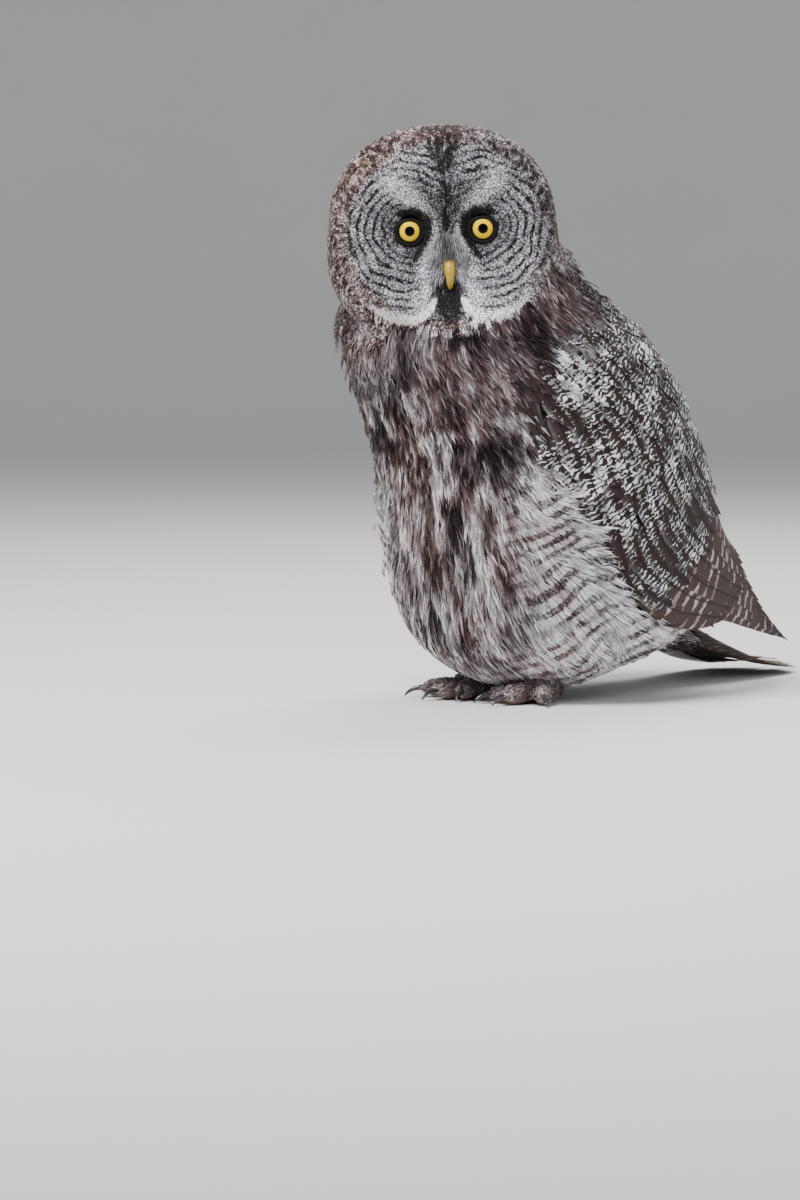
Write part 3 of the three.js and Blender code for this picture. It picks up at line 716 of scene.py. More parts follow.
def evaluated(piece):
    """The piece's mesh with its modifiers applied, as a new mesh."""
    view = bpy.context.evaluated_depsgraph_get()
    return bpy.data.meshes.new_from_object(piece.evaluated_get(view))


def points_of(mesh, what="co"):
    held = np.zeros(len(mesh.vertices) * 3, np.float32)
    mesh.vertices.foreach_get(what, held)
    return held.reshape(-1, 3).astype(float)


OUTER = {}


def outer_surface():
    """The flesh nodes as one smooth closed surface, made once: the mesh and a tree for finding places."""
    if OUTER:
        return OUTER
    whole = merged_copy(SKIN_NODES, SKIN_GROWTH)
    mesh = bpy.data.meshes.new("outer")
    whole.to_mesh(mesh)
    whole.free()
    holder = linked("outer", mesh)
    remesh = holder.modifiers.new("remesh", "REMESH")
    remesh.mode = "VOXEL"
    remesh.voxel_size = bpy.context.scene.owl_sizes.skin_step
    smooth = holder.modifiers.new("smooth", "SMOOTH")
    smooth.factor = 0.5
    smooth.iterations = 4
    bpy.context.view_layer.update()
    OUTER["mesh"] = evaluated(holder)
    bpy.data.objects.remove(holder)
    shaped = bmesh.new()
    shaped.from_mesh(OUTER["mesh"])
    shaped.normal_update()
    OUTER["tree"] = BVHTree.FromBMesh(shaped)
    shaped.free()
    return OUTER


def nearest(points):
    """The nearest places on the outer surface and the normals there, in millimetres."""
    tree = outer_surface()["tree"]
    places, normals = np.empty_like(points), np.empty_like(points)
    for i, p in enumerate(points * MM):
        place, normal, _, _ = tree.find_nearest(Vector(p))
        places[i] = place
        normals[i] = normal
    return places / MM, normals


def body_place(p):
    """For points, the length down the spine, the turn round the body, and how far out they are, where
    1 is on the body's outer surface."""
    every = np.arange(0, len(SHARES), 8)  # each eighth point of the line is enough
    span = BACK[every] - FRONT[every]
    span /= np.linalg.norm(span, axis=1)[:, None]
    q = p[:, None, 1:] - MIDDLE[every][None]
    off = np.abs(q[..., 0] * span[None, :, 1] - q[..., 1] * span[None, :, 0])
    best = off.argmin(1)
    k = every[best]
    chosen = q[np.arange(len(p)), best]
    deep = np.where((chosen * span[best]).sum(1) > 0, np.linalg.norm(BACK[k] - MIDDLE[k], axis=1),
                    np.linalg.norm(FRONT[k] - MIDDLE[k], axis=1))
    w = (chosen * span[best]).sum(1) / deep
    x = p[:, 0] / WIDE[k]
    return LENGTHS[k], np.degrees(np.arctan2(w, x)), np.hypot(x, w)


def flesh_marks(p):
    """Marks at a place on the flesh, whatever part it is, for the skin and for short feathers."""
    length, turn, out = body_place(p)
    middle = np.zeros(len(p))
    trunk = body_marks(p, length, turn, middle + 0.6, middle + 0.5, middle + 0.5)
    face = face_marks(p)
    head = np.clip(ramp(out, 1.0, 1.06) + ramp(p[:, 2], 392, 402), 0, 1) * ramp(p[:, 2], 285, 305)
    marks = mix(trunk, face, head[:, None])
    marks[:, 2] = np.where(head > 0.5, face[:, 2], trunk[:, 2])
    marks[:, 3] *= np.abs(2 * head - 1)
    return marks


class OWL_OT_skin(bpy.types.Operator):
    """Makes the one skin under the coat, in place of the nodes of flesh"""

    bl_idname = "owl.skin"
    bl_label = "Skin"

    def execute(self, context):
        mesh = outer_surface()["mesh"].copy()
        mesh.name = "skin"
        points, normals = points_of(mesh) / MM, points_of(mesh, "normal")
        side, up, front = head_place(points)
        face = ramp(front, 15, 35) * (1 - ramp(np.hypot(side / DISC_SIDE, up / DISC_UP), 0.95, 1.2))
        head = ramp(points[:, 2], 300, 350)
        depth = mix(mix(context.scene.owl_sizes.coat_depth / MM, HEAD_DEPTH, head), FACE_DEPTH, face)
        depth = np.where(points[:, 2] < 20, FOOT_DEPTH, depth)
        points = points - normals * depth[:, None]
        mesh.vertices.foreach_set("co", (points * MM).astype(np.float32).ravel())
        marks = flesh_marks(points)
        marks[:, 0] *= 0.8
        set_marks(mesh, marks)
        mesh.materials.clear()
        mesh.materials.append(plumage_material("skin_down"))
        mesh.polygons.foreach_set("use_smooth", np.ones(len(mesh.polygons), bool))
        mesh.update()
        skin = linked("skin", mesh)
        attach(skin, "root")
        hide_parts(*SKIN_NODES)
        return {"FINISHED"}


# The coat

SEEDS = {"body": 5, "face": 9, "head": 13, "wing_left": 17, "wing_right": 23, "tail": 31,
         "foot_left": 41, "foot_right": 43}
COAT_LENGTHS = (4.0, 412.0)  # down the spine, from the neck to the tail's root
HEAD_LOCKS = 70000  # tried all round the head, and kept where its coat is
BRISTLES = 1500
TOE_LOCKS = 5200
RAY_START = 130  # in front of the head's middle


def feather_locks(length, turn, flow, long, wide, rise, sunk, barbs, thin, draw):
    """Small feathers as bundles of fine barbs. Each starts at a length down the spine and a turn round
    the body, and flows at an angle from straight down, the way that the turn grows."""
    count = len(length)
    luck = draw.random(count)
    start = draw.uniform(0.0, 0.62, (count, barbs)) ** 1.1
    edge = draw.uniform(-1, 1, (count, barbs))
    reach = np.minimum(start + draw.uniform(0.3, 0.5, (count, barbs)), 1.0)
    round_tip = np.sqrt(np.clip(1 - ramp(reach, 0.55, 1.08) ** 2, 0.05, 1))
    v = np.stack([start, mix(start, reach, 0.5), reach], -1)
    u = np.stack([edge * 0.18, edge * 0.62, edge * round_tip], -1)
    column = lambda values: np.asarray(values)[:, None, None]
    flow = np.radians(column(flow)) + 0.12 * draw.standard_normal((count, 1, 1))
    down = column(long) * v * np.cos(flow) - column(wide) * 0.5 * u * np.sin(flow)
    around = column(long) * v * np.sin(flow) + column(wide) * 0.5 * u * np.cos(flow)
    share = share_at(np.clip(column(length) + down, 0, LENGTHS[-1]))
    per_degree = column(reach_of(share_at(length), turn))
    where = column(turn) + around / per_degree
    lift = mix(-column(sunk), column(rise), np.minimum(1, v * 1.35)) - 0.5 * u**2
    lift = lift + 0.5 * draw.standard_normal(v.shape) * [0.3, 0.5, 1.1]
    points = body(share, where, lift)
    facing = hull_normal(share[..., 0], where[..., 0])
    flat = points.reshape(-1, 3)
    each = lambda values: np.broadcast_to(values, v.shape).reshape(-1)
    marks = body_marks(flat, each(np.interp(share, SHARES, LENGTHS)), each(where), each(u), each(v),
                       each(column(luck)))
    marks = marks.reshape(*v.shape, 4)
    marks[..., 0] += 0.09 * draw.standard_normal((count, barbs, 1))
    place = np.repeat(body_map(length, turn)[:, None], barbs, 1)
    place = place + draw.uniform(-0.002, 0.002, place.shape)
    rows = count * barbs
    return {
        "root": points[:, :, 0].reshape(rows, 3), "mid": points[:, :, 1].reshape(rows, 3),
        "tip": points[:, :, 2].reshape(rows, 3), "normal": facing.reshape(rows, 3),
        "width": (thin * draw.uniform(0.75, 1.3, (count, barbs))).reshape(rows),
        "marks": marks.reshape(rows, 3, 4), "place": place.reshape(rows, 2),
    }


def body_map(length, turn):
    """A place on the body's unwrap: round it across, and down the spine."""
    return np.stack([0.02 + 0.96 * (((np.asarray(turn) + 450) % 360) / 360),
                     0.02 + 0.96 * np.asarray(length) / LENGTHS[-1]], -1)


def scattered(first, last, gap, draw):
    """Lengths and turns spread evenly over the body's surface between two lengths down the spine."""
    lengths, turns = [], []
    length = first
    while length < last:
        degrees = np.arange(-180, 180, 3.0)
        share = share_at(length)
        per = np.linalg.norm(np.diff(body(np.full(len(degrees) + 1, share),
                                          np.append(degrees, 180.0)), axis=0), axis=1)
        total = np.concatenate([[0], np.cumsum(per)])
        count = max(6, int(total[-1] / gap))
        at = (np.arange(count) + draw.random()) / count * total[-1] % total[-1]
        turns.append(np.interp(at, total, np.append(degrees, 180.0)) + draw.normal(0, 0.9, count))
        lengths.append(np.full(count, length) + draw.normal(0, gap * 0.22, count))
        length += gap * 0.82
    return np.concatenate(lengths), np.concatenate(turns)


def side_turn(turn):
    """The turn as on the owl's left, and which side it is really on."""
    turn = (np.asarray(turn) + 180) % 360 - 180
    right = np.abs(turn) > 90
    return np.where(right, np.sign(turn) * 180 - turn, turn), np.where(right, -1.0, 1.0)


def wing_front(length):
    """The turn where the closed wing's front edge lies."""
    return mix(-46.0, -24.0, ramp(length, 125, 320))


def under_wing(length, turn):
    """Where the closed wings and the mantle between them cover the body, well inside their edge."""
    left, _ = side_turn(turn)
    wing = (left > wing_front(length) + 5) & (left < mix(72, 40, ramp(length, 280, 325))) & (length > 72)
    mantle = (left > 10) & (length > 62) & (length < 290)
    return wing | mantle


def lie(length, turn):
    """How the coat flows at a place: degrees from straight down, towards the back on either side."""
    left, side = side_turn(turn)
    flank = ramp(left, -84, wing_front(length) - 2) * (1 - ramp(left, -20, 20))
    angle = mix(mix(10, 56, ramp(length, 110, 190)), -16, ramp(length, 205, 285))
    return side * flank * angle


class OWL_OT_body_coat(bpy.types.Operator):
    """Covers the neck, breast, back and belly with small feathers"""

    bl_idname = "owl.body_coat"
    bl_label = "Body coat"

    def execute(self, context):
        gap = context.scene.owl_sizes.feather_gap / MM
        draw = np.random.default_rng(SEEDS["body"])
        length, turn = scattered(*COAT_LENGTHS, gap, draw)
        order = np.lexsort((turn, (length // 40)))
        length, turn = length[order], turn[order]
        keep = ~under_wing(length, turn)
        place = body(share_at(length), turn)
        near, _ = nearest(place)
        keep &= np.linalg.norm(near - place, axis=1) < 9 + 14 * (length > 330)
        low = place[:, 2] < 6
        keep &= ~low | (draw.random(len(length)) < 0.5)
        length, turn = length[keep], turn[keep]
        left, _ = side_turn(turn)
        flow = lie(length, turn)
        flank = ramp(left, -80, -50) * (1 - ramp(left, 0, 40)) * ramp(length, 150, 220)
        long = mix(30, 46, ramp(length, 60, 240)) * (1 + 0.12 * flank)
        long = long * draw.uniform(0.85, 1.15, len(length))
        wide = mix(14, 19, ramp(length, 60, 240))
        over_wing = ramp(left, wing_front(length) - 26, wing_front(length) - 4) * (left < 40)
        over_wing = over_wing * ramp(length, 120, 180)
        rise = 1.2 + 5.5 * over_wing
        ground = ramp(body(share_at(length), turn)[:, 2], 25, 8)
        rise = rise * (1 - ground) - 2.0 * ground
        fluff = ramp(length, 250, 320) * (1 - ground)
        stray = draw.uniform(0, 5, len(length)) * fluff
        raised = draw.random(len(length)) < 0.05
        rise = rise + stray + 4 * raised * (1 - ground)
        long = long * (1 + 0.25 * fluff)
        rise = rise + 3 * (1 - ramp(length, 10, 30)) * ramp(left, -10, 20)
        sunk = np.full(len(length), context.scene.owl_sizes.coat_depth / MM)
        locks = feather_locks(length, turn, flow, long, wide, rise, sunk, barbs=21, thin=1.75, draw=draw)
        for key in ("root", "mid", "tip"):
            locks[key][:, 2] = np.maximum(locks[key][:, 2], FLOOR_GAP)
        locks_mesh("body_coat", locks, plumage_material("body_feathers"))
        return {"FINISHED"}


def head_map(p):
    """A place on the head's unwrap, round the middle of the face."""
    way = unit(np.stack(head_place(p), -1))
    far = np.arccos(np.clip(way[:, 2], -1, 1)) / np.pi * 0.48
    turn = np.arctan2(way[:, 1], way[:, 0])
    return np.stack([0.5 + far * np.cos(turn), 0.5 + far * np.sin(turn)], -1)


def along_surface(place, normal, way, long):
    """Follows the outer surface from places along ways, and gives the places and normals at the start,
    halfway and at the end."""
    places, normals = [place], [normal]
    for _ in range(2):
        way = unit(way - normal * (way * normal).sum(1, keepdims=True))
        place, normal = nearest(place + way * (long / 2)[:, None])
        places.append(place)
        normals.append(normal)
    return places, normals


def rays(origins, ways):
    """Where rays meet the outer surface, with the normals, for those that do."""
    tree = outer_surface()["tree"]
    places, normals = [], []
    for origin, way in zip(origins * MM, ways):
        place, normal, _, _ = tree.ray_cast(Vector(origin), Vector(way))
        if place is not None:
            places.append(place)
            normals.append(normal)
    return np.array(places) / MM, np.array(normals)


def onto_face(side, up):
    """Places and normals on the face at distances to the head's side and up."""
    origin = HEAD_MIDDLE + side[:, None] * HEAD_SIDE + up[:, None] * HEAD_UP + RAY_START * HEAD_FRONT
    return rays(origin, np.tile(-HEAD_FRONT, (len(side), 1)))


def hair_locks(p, normal, way, long, thin, marks_at, rise, sunk, draw, soft):
    """Single fine locks from places on the flesh, each with its marking read where it lies."""
    places, normals = along_surface(p, normal, way, long)
    count = len(p)
    sway = draw.normal(0, soft, (count, 3))
    root = places[0] - normals[0] * sunk
    middle = places[1] + normals[1] * rise[:, None] * 0.8 + sway * 0.4
    tip = places[2] + normals[2] * rise[:, None] + sway
    marks = np.stack([marks_at(q) for q in places], 1)
    return {
        "root": root, "mid": middle, "tip": tip, "normal": unit(normals[0] + normals[2]),
        "width": thin * draw.uniform(0.75, 1.3, count), "marks": marks, "place": head_map(p),
    }


def radial_way(side, up):
    """The way face feathers point, as side and up: outward from the nearer eye, and from the bill."""
    across = np.abs(side)
    away = np.stack([across - EYE_SIDE, up - EYE_UP], -1)
    far = np.linalg.norm(away, axis=-1, keepdims=True)
    away = away / np.maximum(far, 1e-6)
    inner = (1 - ramp(across, 6, 22))[:, None]
    below = (1 - ramp(np.hypot(across - 3, up + 30), 8, 30))[:, None]
    from_bill = unit(np.stack([across + 1.5, up + 14], -1))
    upward = np.stack([0.35 + 0 * across, np.where(up > -14, 1.0, -1.0)], -1)
    way = away * (1 - inner) + upward * inner
    way = way * (1 - below) + from_bill * below
    chin = (ramp(-up, 42, 50) * (1 - ramp(across, 3, 9)))[:, None]
    way = unit(mix(way, np.array([0.0, -1.0]), chin))
    return np.stack([way[:, 0] * np.where(side < 0, -1, 1), way[:, 1]], -1)


class OWL_OT_face(bpy.types.Operator):
    """Covers the facial disc with hair-fine feathers that spread from the eyes and the bill"""

    bl_idname = "owl.face"
    bl_label = "Facial disc"

    def execute(self, context):
        gap = context.scene.owl_sizes.face_gap / MM
        draw = np.random.default_rng(SEEDS["face"])
        grids = np.meshgrid(np.arange(-90, 90, gap), np.arange(-84, 80, gap))
        side, up = [grid.ravel() for grid in grids]
        side = side + draw.uniform(-0.5, 0.5, len(side)) * gap
        up = up + draw.uniform(-0.5, 0.5, len(up)) * gap
        disc = np.hypot(side / (DISC_SIDE + 6), up / (DISC_UP + 6))
        eye = np.hypot(np.abs(side) - EYE_SIDE, up - EYE_UP)
        keep = (disc < 1) & (eye > 10.6)
        places, normals = onto_face(side[keep], up[keep])
        side, up, _ = head_place(places)
        flat = radial_way(side, up)
        way = flat[:, :1] * HEAD_SIDE + flat[:, 1:] * HEAD_UP
        eye = np.hypot(np.abs(side) - EYE_SIDE, up - EYE_UP)
        disc = np.hypot(side / DISC_SIDE, up / DISC_UP)
        long = mix(3.6, 8.2, ramp(eye, 10, 32)) * draw.uniform(0.8, 1.2, len(side))
        rise = mix(0.5, 1.6, ramp(eye, 10, 26)) + 1.4 * np.exp(-(((disc - 0.98) / 0.07) ** 2))
        locks = hair_locks(places, normals, way, long, thin=0.9, marks_at=face_marks, rise=rise, sunk=1.2,
                           draw=draw, soft=0.35)
        feathers = plumage_material("face_feathers", grain=0.46, grain_scale=700.0, thin=0.25)
        locks_mesh("face_coat", locks, feathers)
        bristles = self.bristles(draw)
        locks_mesh("bill_bristles", bristles, plumage_material("bristles"))
        return {"FINISHED"}

    def bristles(self, draw):
        """Stiff fine feathers that sweep down over the bill's root and out beside it."""
        across = draw.uniform(-13, 13, BRISTLES)
        up = draw.uniform(-36, 2, BRISTLES)
        inner, outer = 3.5 - 3.5 * ramp(up, -24, -14), 7 + 7 * ramp(-up, -4, 20)
        keep = (np.abs(across) > inner) & (np.abs(across) < outer)
        across, up = across[keep], up[keep]
        count = len(up)
        places, normals = onto_face(across, up)
        out = np.clip(across / 11, -1, 1)[:, None]
        over = ramp(up, -22, -10)[:, None]
        way = 0.55 * out * HEAD_SIDE - 0.8 * HEAD_UP + mix(0.55, 0.85, over) * HEAD_FRONT
        way = unit(way + 0.13 * draw.standard_normal(way.shape))
        long = mix(8, 13, over[:, 0])[:, None] * draw.uniform(0.7, 1.15, (count, 1))
        tone = 0.55 + 0.3 * draw.random(count) - 0.2 * (np.abs(across) < 4)
        marks = np.zeros((count, 3, 4))
        marks[..., 0] = np.stack([tone, tone, tone * 0.75], -1)
        marks[..., 1] = 0.25
        return {
            "root": places - normals, "mid": places + way * long * 0.55 + normals,
            "tip": places + way * long - HEAD_UP * long * 0.2, "normal": unit(normals + HEAD_FRONT),
            "width": draw.uniform(0.4, 0.8, count), "marks": marks, "place": head_map(places),
        }


class OWL_OT_head_coat(bpy.types.Operator):
    """Covers the crown, nape and ruff with short mottled feathers"""

    bl_idname = "owl.head_coat"
    bl_label = "Crown and ruff"

    def execute(self, context):
        draw = np.random.default_rng(SEEDS["head"])
        k = np.arange(HEAD_LOCKS) + 0.5
        tall = 1 - 2 * k / HEAD_LOCKS
        spin = np.pi * (1 + 5**0.5) * k  # by the golden ratio, so that no rows show
        flat = np.sqrt(1 - tall**2)
        ways = np.stack([flat * np.cos(spin), flat * np.sin(spin), tall], -1)
        places, normals = rays(np.tile(HEAD_MIDDLE, (HEAD_LOCKS, 1)), ways)
        side, up, front = head_place(places)
        disc = np.hypot(side / DISC_SIDE, up / DISC_UP)
        deep = np.where(front > 0, HEAD_HALF[2], HEAD_HALF[3])
        halves = ((side, HEAD_HALF[0]), (up, HEAD_HALF[1]), (front, deep))
        far = sum(np.abs(q / half) ** HEAD_SQUARE for q, half in halves) ** (1 / HEAD_SQUARE)
        on_head = far < 1.1
        face = (front > 18) & (disc < 1.0)
        keep = on_head & ~face
        places, normals = places[keep], normals[keep]
        side, up, front = head_place(places)
        out_way = unit(np.stack([side, up], -1))
        flow = -HEAD_FRONT + 0.45 * (out_way[:, :1] * HEAD_SIDE + out_way[:, 1:] * HEAD_UP)
        flow = flow - np.array([0, 0, 1.0]) * (0.25 + 1.1 * ramp(-up, -30, 50))[:, None]
        nape = ramp(-front, 0, 45) * ramp(-up, -15, 45)
        flare = ramp(side, 40, 74) * ramp(-up, 0, 38) * ramp(-front, -25, 5)
        long = mix(8, 20, ramp(-up, -60, 60)) + 24 * nape + 12 * flare
        long = long * draw.uniform(0.8, 1.25, len(places))
        rise = mix(1.0, 2.0, ramp(-up, -60, 60)) + 8 * nape + 8 * flare
        flow = flow + 0.16 * draw.standard_normal(flow.shape)
        locks = hair_locks(places, normals, flow, long, thin=1.15, marks_at=flesh_marks, rise=rise,
                           sunk=2.2, draw=draw, soft=0.6)
        feathers = plumage_material("head_feathers", grain=0.5, grain_scale=380.0)
        locks_mesh("head_coat", locks, feathers)
        return {"FINISHED"}


# Flight feathers and coverts


def vane_faces(rows, columns):
    """Triangles of a thin closed vane: an upper grid, then a lower one."""
    top = np.arange(rows * columns).reshape(rows, columns)
    under = top + rows * columns
    faces = []
    quad = lambda a, b, c, d: faces.extend([(a, b, c), (a, c, d)])
    for i in range(rows - 1):
        for j in range(columns - 1):
            quad(top[i, j], top[i + 1, j], top[i + 1, j + 1], top[i, j + 1])
            quad(under[i, j], under[i, j + 1], under[i + 1, j + 1], under[i + 1, j])
        quad(top[i, 0], under[i, 0], under[i + 1, 0], top[i + 1, 0])
        quad(top[i + 1, -1], under[i + 1, -1], under[i, -1], top[i, -1])
    for j in range(columns - 1):
        quad(top[0, j], top[0, j + 1], under[0, j + 1], under[0, j])
        quad(top[-1, j + 1], top[-1, j], under[-1, j], under[-1, j + 1])
    return np.array(faces)


def vanes_mesh(name, upper, lower, across, along, luck, dense, material):
    """Makes many alike vanes one piece: grids of points above and below, with a map along each vane,
    its own place in the baking map, and how densely barred each point is."""
    count, rows, columns = upper.shape[:3]
    template = vane_faces(rows, columns)
    points = np.concatenate([upper.reshape(count, -1, 3), lower.reshape(count, -1, 3)], 1)
    volume = np.einsum("ij,ij->", points[0][template[:, 0]],
                       np.cross(points[0][template[:, 1]], points[0][template[:, 2]]))
    if volume < 0:
        template = template[:, ::-1]
    each = points.shape[1]
    faces = (template[None] + each * np.arange(count)[:, None, None]).reshape(-1, 3)
    cells = math.ceil(math.sqrt(count * 2))
    number = np.arange(count)
    u_in = 0.04 + 0.92 * (across - across.min()) / (across.max() - across.min())
    v_in = 0.04 + 0.92 * (along - along.min()) / (along.max() - along.min())
    places = []
    for face in (0, 1):
        row, column = np.divmod((number * 2 + face)[:, None, None], cells)
        places.append(np.stack([column + u_in, row + v_in], -1))
    uv = np.concatenate([p.reshape(count, -1, 2) for p in places], 1).reshape(-1, 2) / cells
    piece = make_mesh(name, points.reshape(-1, 3), faces, None, uv, None)
    own = np.stack([across, along], -1).reshape(count, -1, 2)
    own = np.concatenate([own, own], 1).reshape(-1, 2)
    layer = piece.data.uv_layers.new(name="vane")
    layer.data.foreach_set("uv", own[faces.ravel()].astype(np.float32).ravel())
    dense = np.broadcast_to(dense, (count, rows, columns)).reshape(count, -1)
    dense = np.concatenate([dense, dense], 1).ravel()
    for title, values in (("luck", np.repeat(luck, each)), ("dense", dense)):
        set_attribute(piece.data, title, values)
    piece.data.materials.append(material)
    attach(piece, "root")
    return piece


# A vane's shares of its length, and how wide it is at each
FLIGHT_SHAPE = ([0, 0.12, 0.3, 0.5, 0.7, 0.84, 0.93, 0.98, 1.0],
                [0.35, 0.72, 0.92, 1, 1, 0.93, 0.72, 0.42, 0.1])
COVERT_SHAPE = ([0, 0.2, 0.45, 0.7, 0.88, 0.97, 1.0], [0.45, 0.85, 1, 0.96, 0.72, 0.38, 0.1])


def vane_shape(shape, rows, columns, count, ragged, draw):
    """For many vanes, the share along and across at each grid point, with slightly ragged edges."""
    v = np.interp(np.linspace(0, 1, rows), np.linspace(0, 1, len(shape[0])), shape[0])
    half = np.interp(v, *shape)
    u = np.linspace(-1, 1, columns)
    v, u = [np.broadcast_to(g, (count, rows, columns)).copy() for g in np.meshgrid(v, u, indexing="ij")]
    half = np.broadcast_to(half[:, None], (rows, columns))
    rough = 1 + ragged * draw.standard_normal((count, rows, 1)) * (v > 0.35)
    tip_round = 0.05 * (u**2) * (v > 0.8)
    return v - tip_round * v, u, half * rough


def hull_vanes(name, from_length, to_length, turn, end_turn, width, lift_root, lift_tip, tilt, shape, grid,
               side, dense, material, draw, ragged=0.02, crown=0.06, thick=0.3):
    """Vanes laid on the body's outer surface, as arrays with one entry each. How densely they are
    barred is a number, or a function of the length down the spine and the turn."""
    count = len(from_length)
    rows, columns = grid
    v, u, half = vane_shape(shape, rows, columns, count, ragged, draw)
    column = lambda values: np.broadcast_to(np.asarray(values, float), (count,))[:, None, None]
    lengths = mix(column(from_length), column(to_length), v)
    share = share_at(lengths)
    middle_turn = mix(column(turn), column(end_turn), v)
    reach = reach_of(share, middle_turn)
    offset = column(width) / 2 * u * half
    degrees = middle_turn + offset / reach
    bend = crown * column(width) * (1 - (u * half) ** 2)
    lift = mix(column(lift_root), column(lift_tip), v) - column(tilt) * offset + bend - crown * column(width)
    faces = []
    for shift in (thick / 2, -thick / 2):
        points = hull(share, degrees, lift + shift)
        points[..., 0] *= side
        faces.append(points)
    long = column(to_length) - column(from_length)
    if callable(dense):
        dense = dense(lengths, degrees)
    vanes_mesh(name, faces[0], faces[1], u * half, v * long, draw.random(count), dense, material)


def wing_rows(draw, rows):
    """Spreads rows of coverts: for each row a count, lengths, turns and sizes from front to back."""
    made = {key: [] for key in ("from_length", "to_length", "turn", "end_turn", "width", "lift_root",
                                "lift_tip")}
    for count, start, long, turns, width, spread in rows:
        share = (np.arange(count) + draw.uniform(0.15, 0.85)) / count
        begin = mix(*start, share) + draw.normal(0, 3.5, count)
        reach = mix(*long, share) * draw.uniform(0.9, 1.1, count)
        turn = mix(*turns, share) + draw.normal(0, 0.9, count)
        made["from_length"].append(begin)
        made["to_length"].append(begin + reach)
        made["turn"].append(turn)
        made["end_turn"].append(turn + spread * (share - 0.5) + draw.normal(0, 1.5, count))
        made["width"].append(mix(*width, share) * draw.uniform(0.9, 1.1, count))
        made["lift_root"].append(np.full(count, -2.6))
        made["lift_tip"].append(np.full(count, 2.4) + draw.normal(0, 0.6, count))
    return {key: np.concatenate(values) for key, values in made.items()}


def covert_density(length, turn):
    """How densely the coverts are barred: dark at the wrist and low on the wing, white by the shoulder."""
    wrist = ramp(turn, -60, -44) * (1 - ramp(turn, -30, -22)) * (1 - ramp(length, 118, 150))
    scapular = ramp(turn, -28, -20) * (1 - ramp(turn, -8, 2)) * (1 - ramp(length, 100, 135))
    low = ramp(length, 205, 265) * (1 - 0.4 * ramp(turn, 20, 50))
    dense = 0.56 - 0.15 * low + 0.04 * ramp(turn, 20, 60)
    dense = mix(dense, 0.1, wrist)
    return mix(dense, 0.98, 0.8 * scapular)


# The wing's pad, as lengths down the spine, and how many flight feathers a wing shows
PAD_LENGTHS = (70.0, 316.0)
PRIMARIES = 8
SECONDARIES = 12
FLIGHT_DENSE = 0.33
WING_BACK = 93.0  # the turn where the coverts of a closed wing end, at the middle of the back
# Rows of large coverts: how many, where they start, their lengths, turns and widths at the wing's front
# and at its back, and how far the row fans out
LARGE_COVERTS = [
    (18, (252, 240), (66, 84), (-21, 86), (25, 29), -8),
    (19, (228, 214), (60, 70), (-25, 90), (23, 27), -6),
    (21, (206, 196), (48, 58), (-29, 92), (21, 24), -4),
]
SMALL_COVERTS = (183.0, 50.0, 12.4)  # down the spine: the first row, the end of the rows, and the step


